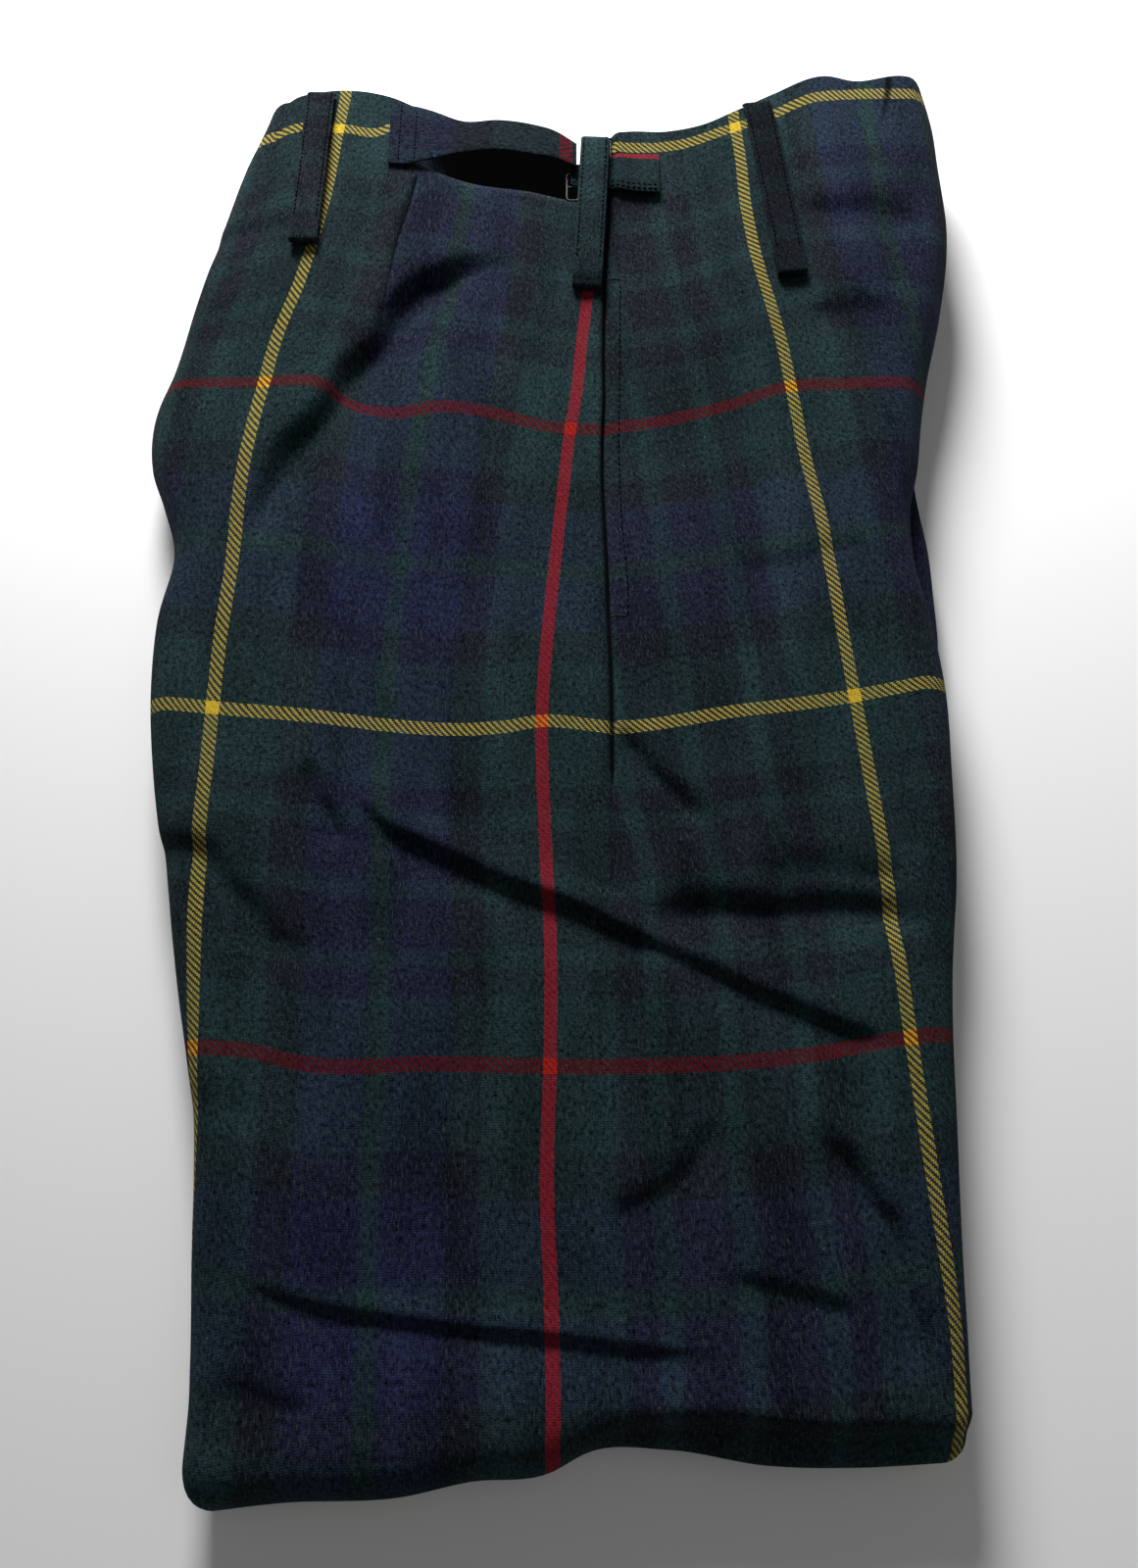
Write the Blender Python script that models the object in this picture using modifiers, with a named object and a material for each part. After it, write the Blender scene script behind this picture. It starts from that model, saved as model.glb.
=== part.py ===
"""Tartan trews laid on their side, legs together, with the lower legs folded under.

The wearer's right side is up: back at -X, front at +X, waist towards +Y. The part rests on z = 0.
Tables and driving dimensions are in millimetres; the model is built in metres.
"""
import math

import bmesh
import bpy
import numpy as np
from mathutils import Matrix, Vector
from mathutils.bvhtree import BVHTree

MM = 0.001

# Driving dimensions
CLOTH = 1.5
GAP = 0.3
EDGE_GAP = 0.45
FOLD_RADIUS = 18.0
HEM_Y = 65.0
LOWER_LEG_TAPER = 0.06
LOWER_LEG_INSET = 2.0
LOWER_LEG_ROLL_LENGTH = 70.0
WAIST_RECESS = 36.0
LEDGE = 3.4
FACING = 1.0
FACING_REACH = 1.3
LOOP_WIDTH = 15.0
STRAP_THICKNESS = 2.6
TAB_THICKNESS = 2.2
BUCKLE_WIRE = 2.0

# Sections across the stack, from the bottom fold to the waist. top is the cloth's height at mid width,
# fall how far it drops before the side folds, fold_w and fold_h a side fold's half width and half
# height, turn how far round it the near leg's cloth goes, in degrees, and groove the depth of the
# gap to the leg below. far_right is the front fold of the leg below.
SECTION_COLUMNS = ("y", "left", "right", "far_right", "seam", "top", "fall", "fold_w", "fold_h", "turn", "groove")
SECTIONS = (
    (-342, -140, 151, 150, 12, 36.0, 1.5, 10, 9.4, 110, 3.0),
    (-300, -141, 153, 152, 13, 36.5, 3.0, 11, 9.6, 110, 3.0),
    (-258, -145, 155, 154, 14, 37.0, 4.0, 11, 9.8, 110, 3.0),
    (-206, -150.5, 159, 158, 16, 37.5, 4.5, 11, 10.0, 110, 3.0),
    (-148, -164, 164, 163, 18, 38.0, 5.0, 12, 10.0, 110, 3.0),
    (-102, -174, 171, 170, 20, 38.5, 5.0, 12, 10.0, 110, 3.0),
    (-60, -184, 174, 173, 21, 39.5, 5.0, 12, 10.2, 110, 3.0),
    (-13, -191, 176, 175, 21, 40.5, 5.0, 12, 10.5, 110, 3.0),
    (20, -192, 173, 179, 20, 41.0, 5.0, 12, 11.0, 110, 3.0),
    (57, -188, 168, 181, 19, 42.0, 5.0, 12, 12.5, 108, 3.0),
    (84, -197, 170, 179, 18, 43.0, 5.0, 14, 15.0, 104, 2.4),
    (106, -206, 176, 177, 18, 44.0, 5.0, 16, 18.5, 99, 1.2),
    (134, -208, 181, 181, 19, 46.0, 5.0, 18, 20.5, 95, 0.0),
    (158, -202, 186, 186, 19, 47.0, 5.0, 18, 21.0, 95, 0.0),
    (198, -195, 196.5, 196.5, 20, 50.0, 5.0, 18, 22.5, 95, 0.0),
    (250, -184, 205.5, 205.5, 23, 53.0, 4.0, 18, 24.5, 95, 0.0),
    (290, -175, 205, 205, 24, 55.0, 3.0, 17, 26.0, 95, 0.0),
    (318, -166, 204, 204, 24, 56.0, 3.0, 16, 26.5, 95, 0.0),
    (342, -160, 200, 200, 24, 57.0, 3.0, 15, 27.0, 95, 0.0),
)

# The near half's waist edge and the far half's below it, and the bottom fold's edge, read across
EDGE_COLUMNS = ("x", "y")
NEAR_WAIST = (
    (-166, 303), (-158, 310), (-148, 323), (-133, 328), (-107, 328), (-94, 324), (-78, 315), (-55, 304),
    (-20, 297), (12, 291), (30, 297), (55, 298), (74, 303), (93, 314), (112, 325), (142, 339), (156, 336),
    (186, 341), (204, 336),
)
FAR_WAIST_LIFT = 6.0
FAR_WAIST = (
    (-166, 307), (-133, 323), (-80, 336), (-50, 343), (-20, 341), (-4, 330), (8, 322), (60, 316), (102, 325),
    (204, 335),
)
BOTTOM_FOLD = (
    (-141, -344), (-104, -340), (-60, -338), (-35, -333), (-5, -330), (8, -324), (40, -323), (75, -328),
    (110, -329), (152, -327),
)

# Largest folds of the upper cloth: depth below the cloth, lip raised beside it on the waist side,
# widths to each side, and the line along which it runs, with the waist side on its left
CREASE_COLUMNS = ("name", "depth", "lip", "upper", "lower", "line")
CREASES = (
    ("seat fold", 7.0, 3.0, 14, 24, ((-148, 57), (-135, 94), (-111, 127), (-97, 175), (-70, 210), (-32, 219))),
    ("thigh crease", 6.0, 3.0, 12, 18, ((-89, -76), (-65, -89), (-11, -115), (39, -135))),
    ("front of the thigh crease", 4.5, 2.5, 12, 16, ((39, -135), (78, -156), (134, -174))),
    ("front hollow", 3.5, 1.0, 12, 16, ((43, -122), (92, -119), (133, -121))),
    ("back crease", 4.0, 1.5, 12, 16, ((-174, -89), (-148, -102), (-125, -130), (-100, -136))),
    ("low crease", 5.0, 2.0, 12, 14, ((-120, -266), (-73, -275), (-20, -281), (49, -289))),
    ("fold at the front of the waist", 4.0, 2.0, 14, 14, ((122, 247), (154, 249), (186, 243))),
    ("fold at the front of the hip", 3.0, 1.5, 14, 14, ((120, 184), (165, 187))),
)

# Under the strap the waist's edge drops into the hollow. The drop starts at one place along X where
# it leaves the level cloth and at another on the edge, is full after its width, and ends on the right.
SAG_DEPTH = 43.0
SAG_REACH = 42.0
SAG_START = (-98.0, -82.0)
SAG_WIDTH = 20.0
SAG_END = (2.0, 20.0)

# Belt loops: a line down the cloth from the waist edge
LOOP_COLUMNS = ("name", "rise", "line")
LOOPS = (
    ("belt_loop_back", 3.0, ((-131, 325), (-132, 275), (-134, 226))),
    ("belt_loop_side", 5.4, ((16, 289), (14, 250), (11, 197))),
    ("belt_loop_front", 3.0, ((102, 316), (108, 265), (115, 205))),
)
# A loop's arch: share of its length, share of its rise
LOOP_PROFILE = ((0.0, 0.0), (0.05, 0.85), (0.3, 1.0), (0.6, 1.0), (0.9, 0.95))
LOOP_LIFT = 1.3
LOOP_TURN_UNDER = 10.0

# The adjuster strap from its sewn end to the buckle: its two edges and its height
STRAP_COLUMNS = ("x", "low", "high", "z")
STRAP = (
    (-93, 275, 304, 50.0),
    (-84, 274, 306, 56.0),
    (-72, 276, 308, 57.5),
    (-54, 281, 303, 57.5),
    (-35, 283, 304, 57.5),
    (-18, 280, 301, 57.5),
    (-5, 277, 296, 57.5),
    (6, 271, 287, 57.5),
)

# The tab that holds the buckle, narrow under the side loop and wide on the front panel
TAB_COLUMNS = ("x", "low", "high")
TAB = ((3, 264, 278), (13, 262, 279), (25, 259, 279), (29, 258, 290), (49, 258, 290))
TAB_HEIGHT = 52.4

BUCKLE_CENTRE = (0.5, 275.5, 54.9)
BUCKLE_SIZE = (11.0, 27.0)

# Middle of the piled garment's outline, which becomes the part's origin
MIDDLE = (-1.3, 0.4)

# Mesh rows and columns
SIDE_COLUMNS = 4
BACK_COLUMNS = 10
FRONT_COLUMNS = 9
LENGTH_ROWS = 26
FOLD_ROWS = 6
LOWER_ROLL_ROWS = 5
BULGE_POINTS = 5
BAND_STEPS = 12
RECESS_ROW = 2
WAIST_SHARES = (0.1, 0.55, 1.0)
UPPER_LENGTH = 640.0
DEEPEST_GROOVE = 3.0


def smooth_step(value):
    value = np.clip(value, 0.0, 1.0)
    return value * value * (3.0 - 2.0 * value)


def read(table, columns, name, at):
    """Read a named column of a table at the given places, as a smooth curve."""
    keys = np.array([row[0] for row in table], float)
    values = np.array([row[columns.index(name)] for row in table], float)
    slopes = np.gradient(values, keys)
    at = np.clip(at, keys[0], keys[-1])
    i = np.clip(np.searchsorted(keys, at) - 1, 0, len(keys) - 2)
    step = keys[i + 1] - keys[i]
    t = (at - keys[i]) / step
    start = (2 * t**3 - 3 * t**2 + 1) * values[i] + (t**3 - 2 * t**2 + t) * step * slopes[i]
    end = (3 * t**2 - 2 * t**3) * values[i + 1] + (t**3 - t**2) * step * slopes[i + 1]
    return start + end


def section(name, y):
    return read(SECTIONS, SECTION_COLUMNS, name, y)


def distance_to_line(x, y, line):
    """Signed distance to a line, positive on its left, and the share of its length reached."""
    line = np.array(line, float)
    lengths = np.hypot(*np.diff(line, axis=0).T)
    total = lengths.sum()
    best = np.full(np.shape(x), np.inf)
    side = np.zeros(np.shape(x))
    share = np.zeros(np.shape(x))
    walked = 0.0
    for start, end, length in zip(line[:-1], line[1:], lengths):
        along = (end - start) / length
        reach = (x - start[0]) * along[0] + (y - start[1]) * along[1]
        offset = (y - start[1]) * along[0] - (x - start[0]) * along[1]
        past = reach - np.clip(reach, 0.0, length)
        distance = np.hypot(past, offset)
        nearer = distance < best
        best = np.where(nearer, distance, best)
        side = np.where(nearer, np.where(offset < 0, -distance, distance), side)
        share = np.where(nearer, (walked + np.clip(reach, 0.0, length)) / total, share)
        walked += length
    return side, share


def creases(x, y):
    """Height of the folds of the upper cloth; each fades out at its ends."""
    height = np.zeros(np.shape(x))
    for row in CREASES:
        fold = dict(zip(CREASE_COLUMNS, row))
        side, share = distance_to_line(x, y, fold["line"])
        fade = smooth_step(share / 0.15) * smooth_step((1.0 - share) / 0.15)
        width = np.where(side > 0, fold["upper"], fold["lower"])
        trough = np.exp(-((side / width) ** 2))
        lip = np.exp(-(((side - 1.7 * fold["upper"]) / fold["upper"]) ** 2))
        height += fade * (fold["lip"] * lip - fold["depth"] * trough)
    return height


def sag(x, y):
    """How far the waist drops into the hollow between the strap's ends."""
    from_edge = read(NEAR_WAIST, EDGE_COLUMNS, "y", x) - y
    share = np.clip(1.0 - from_edge / SAG_REACH, 0.0, 1.0)
    start = SAG_START[0] + (SAG_START[1] - SAG_START[0]) * share
    across = smooth_step((x - start) / SAG_WIDTH)
    across *= 1.0 - smooth_step((x - SAG_END[0]) / (SAG_END[1] - SAG_END[0]))
    return SAG_DEPTH * across * smooth_step(share)


def cloth_height(x, y):
    """Height of the upper cloth's outer face between its side folds."""
    left = section("left", y)
    right = section("right", y)
    half = (right - left) / 2 - section("fold_w", y)
    outward = np.clip(np.abs(x - (left + right) / 2) / half, 0.0, 1.0)
    return section("top", y) - section("fall", y) * outward**3 + creases(x, y) - sag(x, y)


def across_leg(column, y, left, right, fold_w):
    """X of a column: below 0 and above 1 are the side folds, 0.5 is the side seam."""
    seam = section("seam", y)
    back = left + fold_w + (seam - left - fold_w) * np.clip(2 * column, 0, 1)
    front = seam + (right - fold_w - seam) * np.clip(2 * column - 1, 0, 1)
    return np.where(column < 0.5, back, front)


def fold_angle(column, turn):
    """Angle round the side fold, 0 on the flat."""
    share = np.maximum(np.maximum(-column, column - 1), 0.0)
    return share * turn


def upper_cloth(column, share):
    """Points of the near leg's cloth from the waist, share 0, to the bottom fold, share 1."""
    y = SECTIONS[-1][0] - UPPER_LENGTH * share
    for _ in range(4):
        fold_w = section("fold_w", y)
        x = across_leg(column, y, section("left", y), section("right", y), fold_w)
        waist = read(NEAR_WAIST, EDGE_COLUMNS, "y", x)
        bottom = read(BOTTOM_FOLD, EDGE_COLUMNS, "y", x) + FOLD_RADIUS
        y = waist + (bottom - waist) * share
    angle = fold_angle(column, np.radians(section("turn", y)))
    side = np.where(column < 0.5, -1.0, 1.0)
    z = cloth_height(x, y) - section("fold_h", y) * (1 - np.cos(angle))
    return x + side * fold_w * np.sin(angle), y, z


def bottom_fold(column, angle_round):
    """Points of the near leg's cloth round the bottom fold, from the top, 0, to the underside, pi."""
    y = np.full(np.shape(column), SECTIONS[0][0] + FOLD_RADIUS)
    fold_w = section("fold_w", y)
    x = across_leg(column, y, section("left", y), section("right", y), fold_w)
    centre_y = read(BOTTOM_FOLD, EDGE_COLUMNS, "y", x) + FOLD_RADIUS
    angle = fold_angle(column, np.radians(section("turn", y)))
    side = np.where(column < 0.5, -1.0, 1.0)
    outward = np.clip(np.abs(2 * column - 1), 0.0, 1.0)
    start = (cloth_height(x, centre_y) - 2 * FOLD_RADIUS) * np.cos(angle_round / 2) ** 2
    depth = section("fold_h", y) * (1 - np.cos(angle))
    radius = FOLD_RADIUS - depth
    inset = LOWER_LEG_INSET * (1 - np.cos(angle_round)) / 2
    x = x + side * (fold_w * np.sin(angle) - inset * outward)
    return x, centre_y - radius * np.sin(angle_round), FOLD_RADIUS + radius * np.cos(angle_round) + start


def lower_leg(column, y, inset=0.0):
    """Points of the near leg's cloth on the underside; inset lies that far inside its outer face."""
    start_y = SECTIONS[0][0] + FOLD_RADIUS
    narrower = LOWER_LEG_INSET + LOWER_LEG_TAPER * np.maximum(y - start_y, 0.0)
    left = section("left", start_y) + narrower
    right = section("right", start_y) - narrower
    fold_w = section("fold_w", start_y)
    x = across_leg(column, start_y, left, right, fold_w)
    bottom = read(BOTTOM_FOLD, EDGE_COLUMNS, "y", x) + FOLD_RADIUS
    rolled = 1.0 - smooth_step((y - bottom) / LOWER_LEG_ROLL_LENGTH)
    turn = np.radians(88.0 + (section("turn", start_y) - 88.0) * rolled)
    angle = fold_angle(column, turn)
    side = np.where(column < 0.5, -1.0, 1.0)
    height = np.maximum(section("fold_h", start_y) * rolled - inset, 0.0)
    x = x + side * (fold_w - inset) * np.sin(angle)
    return x, y, inset + height * (1 - np.cos(angle))


def columns_across():
    left = np.linspace(-1, 0, SIDE_COLUMNS + 1)
    back = np.linspace(0, 0.5, BACK_COLUMNS + 1)
    front = np.linspace(0.5, 1, FRONT_COLUMNS + 1)
    right = np.linspace(1, 2, SIDE_COLUMNS + 1)
    return np.concatenate([left, back[1:], front[1:], right[1:]])


def length_rows():
    """Shares of the length from the waist: two rows on the recess, then even ones."""
    recess = WAIST_RECESS / UPPER_LENGTH
    return np.concatenate([[0.0, recess / 2], np.linspace(recess, 1.0, LENGTH_ROWS)])


def near_leg_grid():
    """Outer face of the near leg's cloth, row by row from the waist, over the fold, to the hem."""
    column = columns_across()
    rows = [np.stack(upper_cloth(column, np.full(column.shape, share)), axis=1) for share in length_rows()]
    for step in range(1, FOLD_ROWS):
        rows.append(np.stack(bottom_fold(column, math.pi * step / FOLD_ROWS), axis=1))
    for share in length_rows()[: -LOWER_ROLL_ROWS - 1 : -1]:
        y = upper_cloth(column, np.full(column.shape, share))[1]
        rows.append(np.stack(lower_leg(column, y), axis=1))
    rows.append(np.stack(lower_leg(column, np.full(column.shape, HEM_Y)), axis=1))
    return np.array(rows)


def strap_height(x):
    return read(STRAP, STRAP_COLUMNS, "z", x)


def grid_mesh(bm, grid, flip=False):
    """Add a grid of points, in millimetres, and its triangles, split the same way in every layer."""
    verts = [[bm.verts.new(Vector(point) * MM) for point in row] for row in grid]
    for row, next_row in zip(verts[:-1], verts[1:]):
        for i in range(len(row) - 1):
            for triangle in (
                (row[i], next_row[i], next_row[i + 1]),
                (row[i], next_row[i + 1], row[i + 1]),
            ):
                bm.faces.new(triangle[::-1] if flip else triangle)
    return verts


def grid_normals(grid):
    bm = bmesh.new()
    verts = grid_mesh(bm, grid)
    bm.normal_update()
    normals = np.array([[tuple(vert.normal) for vert in row] for row in verts])
    bm.free()
    return normals


def principled(name, colour, roughness, metallic=0.0):
    material = bpy.data.materials.new(name)
    material.use_nodes = True
    shader = material.node_tree.nodes["Principled BSDF"]
    shader.inputs["Base Color"].default_value = (*colour, 1.0)
    shader.inputs["Roughness"].default_value = roughness
    shader.inputs["Metallic"].default_value = metallic
    return material


def add_object(name, bm, material, collection):
    mesh = bpy.data.meshes.new(name)
    bm.to_mesh(mesh)
    bm.free()
    mesh.materials.append(material)
    obj = bpy.data.objects.new(name, mesh)
    collection.objects.link(obj)
    return obj


def thicken(obj, thickness):
    solid = obj.modifiers.new("Cloth", "SOLIDIFY")
    solid.thickness = thickness * MM
    solid.offset = 0.0
    solid.use_even_offset = False


def cloth_wall(name, outer, inner, material, collection):
    """A closed wall of cloth between two grids of points."""
    bm = bmesh.new()
    outside = border(grid_mesh(bm, outer))
    inside = border(grid_mesh(bm, inner, flip=True))
    for i in range(len(outside)):
        bm.faces.new((outside[i], outside[i - 1], inside[i - 1], inside[i]))
    bmesh.ops.recalc_face_normals(bm, faces=bm.faces)
    return add_object(name, bm, material, collection)


def border(verts):
    """Vertices round the edge of a grid, in order."""
    right = [row[-1] for row in verts[:-1]]
    left = [row[0] for row in verts[:0:-1]]
    return verts[0][:-1] + right + verts[-1][:0:-1] + left


def seam_gap(grid, seam_index):
    """Two grids, back and front, whose edges stand half a gap from the side seam."""
    back = grid[:, : seam_index + 1].copy()
    front = grid[:, seam_index:].copy()
    for side, near in ((back[:, -1], back[:, -2]), (front[:, 0], front[:, 1])):
        away = near - side
        side += away / np.linalg.norm(away, axis=1, keepdims=True) * GAP / 2
    return back, front


def lower_edge(near_end, side, x_outer, low, groove):
    """Points down the edge of the layers below the near leg, from its cloth's end to low."""
    joined = min(max(1.0 - groove / DEEPEST_GROOVE, 0.0), 1.0)
    end_x, y, end_z = near_end
    high = end_z - EDGE_GAP - 0.6 * (1 - joined)
    width = 9.0 + 3.0 * joined
    centre = joined * high + (1 - joined) * (high + low) / 2
    first = max(math.acos(min((high - centre) / (centre - low), 1.0)), math.radians(25.0))
    points = [(end_x - side * (CLOTH + 0.4 + groove), y, end_z - EDGE_GAP)]
    for angle in np.linspace(first, math.pi, BULGE_POINTS):
        x = x_outer - side * width * (1 - math.sin(angle))
        points.append((x, y, centre + (centre - low) * math.cos(angle)))
    return points


def ring_of(top, bottom, edges):
    """One ring: the upper face, the front edge, the underside and the back edge."""
    front, back = edges
    return [*top, *front, *bottom[::-1], *back[::-1]]


def stack_ring(top, bottom, top_outer, bottom_outer, inset=0.0):
    """A ring through the whole stack; its edges lead from the upper face's ends to the underside's."""
    edges = []
    for side, index in ((1.0, -1), (-1.0, 0)):
        end = top_outer[index]
        x_outer = section("far_right", end[1]) if side > 0 else section("left", end[1]) + 1.0
        x_outer -= side * inset
        low = bottom[index][2]
        if low > 0:
            low = max(low, bottom_outer[index][2] + 0.9)
        edge = lower_edge(end, side, x_outer, low, section("groove", end[1]))
        shares = np.linspace(0.0, 1.0, len(edge))
        edges.append([(x, y + (bottom[index][1] - y) * share, z) for (x, y, z), share in zip(edge, shares)])
    return ring_of(top, bottom, edges)


def stack_rings(grid, normals):
    """Rings round the hidden layers, from inside the bottom fold to the recess in the waist."""
    column = columns_across()
    inner = grid - normals * (CLOTH + GAP + 0.1)
    last_upper = len(length_rows()) - 1
    rings = []
    for step in (2, 1, 0):
        top = last_upper + step
        bottom = last_upper + FOLD_ROWS - step
        rings.append(stack_ring(inner[top], inner[bottom], grid[top], grid[bottom], 2.0 * step))
    for row in range(last_upper - 1, RECESS_ROW - 1, -1):
        bottom = 2 * last_upper + FOLD_ROWS - row
        if row > last_upper - LOWER_ROLL_ROWS:
            rings.append(stack_ring(inner[row], inner[bottom], grid[row], grid[bottom]))
            continue
        y = inner[row][:, 1]
        past_hem = y.mean() > HEM_Y
        if past_hem and inner[row + 1][:, 1].mean() <= HEM_Y:
            y = np.full(y.shape, HEM_Y + 2 * GAP)
        if not past_hem and inner[row - 1][:, 1].mean() > HEM_Y:
            y = np.full(y.shape, HEM_Y + GAP)
        outer = rows_of(*lower_leg(column, y))
        under = rows_of(*lower_leg(column, y, CLOTH + GAP + 0.1))
        if past_hem:
            under[:, 2] = 0.0
        rings.append(stack_ring(inner[row], under, grid[row], outer))
    return rings


def far_waist(share):
    """The far half's waist across the columns, from the recess, share 0, to its edge, share 1."""
    column = columns_across()
    angle = fold_angle(column, math.pi / 2)
    side = np.where(column < 0.5, -1.0, 1.0)
    start = upper_cloth(column, np.full(column.shape, WAIST_RECESS / UPPER_LENGTH))[1]
    x = across_leg(column, start, section("left", start), section("right", start), section("fold_w", start))
    for _ in range(3):
        y = start + (read(FAR_WAIST, EDGE_COLUMNS, "y", x) - start) * share
        fold_w = section("fold_w", y)
        x = across_leg(column, y, section("left", y), section("right", y), fold_w)
    seam_z = seam_height(y) - EDGE_GAP
    wall = LEDGE * (1 - 0.3 * np.sin(angle))
    lift = FAR_WAIST_LIFT * share**2 * smooth_step((x + 90) / 40) * smooth_step((6 - x) / 24)
    inner_x = x + side * (fold_w - wall * (angle > 0)) * np.sin(angle)
    inner = rows_of(inner_x, y, LEDGE + lift + (seam_z - LEDGE) * (1 - np.cos(angle)))
    under = rows_of(x + side * 0.1 * fold_w * np.sin(angle), y, lift)
    return inner, under, seam_z


def waist_ring(share):
    """A ring round the far half's waist, a thin trough that the near half arches over."""
    inner, under, seam_z = far_waist(share)
    edges = []
    for side, index in ((1.0, -1), (-1.0, 0)):
        x_end, y, _ = inner[index]
        x_outer = section("far_right", y) if side > 0 else section("left", y) + 1.0
        edge = [(x_end + side * 0.8, y, seam_z[index])]
        for angle in np.linspace(math.pi / 2, math.pi, BULGE_POINTS):
            x = x_outer - side * 12.0 * (1 - math.sin(angle))
            edge.append((x, y, seam_z[index] * (1 + math.cos(angle))))
        edges.append(edge)
    return ring_of(inner, under, edges)


def seam_height(y):
    """Height at which the near cloth ends on the centre seams above the crotch."""
    turn = np.radians(section("turn", y))
    return section("top", y) - section("fall", y) - section("fold_h", y) * (1 - np.cos(turn))


def rows_of(x, y, z):
    return np.stack(np.broadcast_arrays(x, y, z), axis=1)


def close_fold_end(bm, ring, width):
    """Close the ring inside the bottom fold with quads between its upper and lower faces."""
    edge = BULGE_POINTS + 1
    top = ring[:width]
    front = ring[width : width + edge]
    bottom = ring[width + edge : 2 * width + edge][::-1]
    back = ring[2 * width + edge :]
    for i in range(width - 1):
        bm.faces.new((bottom[i], bottom[i + 1], top[i + 1], top[i]))
    bm.faces.new((top[-1], bottom[-1], *front[::-1]))
    bm.faces.new((bottom[0], top[0], *back[::-1]))


def close_waist_end(bm, ring):
    cap = bm.faces.new(ring)
    cap.normal_update()
    bmesh.ops.triangulate(bm, faces=[cap], ngon_method="EAR_CLIP")


def hidden_layers(grid, normals, material, collection):
    """The far leg, the seat and both lower legs: one rounded solid, flat underneath."""
    bm = bmesh.new()
    points = stack_rings(grid, normals) + [waist_ring(share) for share in WAIST_SHARES]
    rings = [[bm.verts.new(Vector(point) * MM) for point in ring] for ring in points]
    count = len(rings[0])
    for ring, next_ring in zip(rings[:-1], rings[1:]):
        for i in range(count):
            j = (i + 1) % count
            bm.faces.new((ring[i], ring[j], next_ring[i]))
            bm.faces.new((ring[j], next_ring[j], next_ring[i]))
    close_fold_end(bm, rings[0], grid.shape[1])
    close_waist_end(bm, rings[-1])
    bmesh.ops.recalc_face_normals(bm, faces=bm.faces)
    merge_flat_faces(bm)
    return add_object("hidden_layers", bm, material, collection)


def merge_flat_faces(bm):
    """Dissolve the edges between the level faces of the underside."""
    level = set()
    for face in bm.faces:
        heights = [vert.co.z for vert in face.verts]
        if face.normal.z < 0 and max(heights) - min(heights) < 1e-7:
            level.add(face)
    inside = [edge for edge in bm.edges if all(face in level for face in edge.link_faces)]
    bmesh.ops.dissolve_edges(bm, edges=inside, use_verts=True)


def waist_facing(material, collection):
    """Black facing on the inside of the far half's waist."""
    shown = np.abs(columns_across() - 0.5) < FACING_REACH
    near, middle, edge = [far_waist(share)[0][shown] for share in WAIST_SHARES]
    grid = np.array([edge, middle, near + (middle - near) * 0.1])
    normals = grid_normals(grid)
    under = grid + normals * (GAP + 0.1)
    cloth_wall("waist_facing", under + normals * FACING, under, material, collection)


def cloth_tree(grid):
    """The panels' outer face, to find heights on it."""
    bm = bmesh.new()
    grid_mesh(bm, grid[: len(length_rows())])
    tree = BVHTree.FromBMesh(bm)
    bm.free()
    return tree


def height_on(tree, x, y):
    hit = tree.ray_cast(Vector((x, y, 200.0)) * MM, Vector((0, 0, -1)))
    return hit[0].z / MM if hit[0] else 0.0


def belt_loop(row, tree, material, collection):
    """A loop of doubled cloth, sewn to the waist edge and turned under at its lower end."""
    loop = dict(zip(LOOP_COLUMNS, row))
    line = np.array(loop["line"], float)
    length = np.hypot(*np.diff(line, axis=0).T).sum()
    turn = 1.0 - 1.3 / length
    back = 1.0 - LOOP_TURN_UNDER / length
    profile = [(share, LOOP_LIFT + loop["rise"] * lift) for share, lift in LOOP_PROFILE]
    profile += [(turn, LOOP_LIFT + 2.7), (1.0, LOOP_LIFT + 1.35), (turn, LOOP_LIFT), (back, LOOP_LIFT)]
    keys = np.linspace(0, 1, len(line))
    rows = []
    for share, lift in profile:
        x = np.interp(share, keys, line[:, 0])
        y = np.interp(share, keys, line[:, 1])
        direction = (line[-1] - line[0]) / np.hypot(*(line[-1] - line[0]))
        across = np.array((-direction[1], direction[0])) * LOOP_WIDTH / 2
        points = [(x + across[0] * k, y + across[1] * k) for k in (-1.0, -0.5, 0.0, 0.5, 1.0)]
        z = max(height_on(tree, *point) for point in points) + lift
        rows.append([(*points[k], z) for k in (0, 2, 4)])
    bm = bmesh.new()
    grid_mesh(bm, rows)
    obj = add_object(loop["name"], bm, material, collection)
    thicken(obj, CLOTH)
    return obj


def band(name, table, columns, lowest, thickness, tree, material, collection):
    """A flat band that runs along X between two edges, resting on the cloth or above it."""
    rows = []
    for x in np.linspace(table[0][0], table[-1][0], BAND_STEPS + 1):
        low = float(read(table, columns, "low", x))
        high = float(read(table, columns, "high", x))
        places = np.linspace(low, high, 5)
        z = max(height_on(tree, x + dx, y) for dx in (-3.0, 0.0, 3.0) for y in places)
        z += GAP + 0.15 + thickness / 2
        z = max(z, float(lowest(x)))
        rows.append([(x, places[k], z) for k in (0, 2, 4)])
    bm = bmesh.new()
    grid_mesh(bm, np.array(rows)[:, ::-1])
    obj = add_object(name, bm, material, collection)
    thicken(obj, thickness)
    return obj


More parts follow.
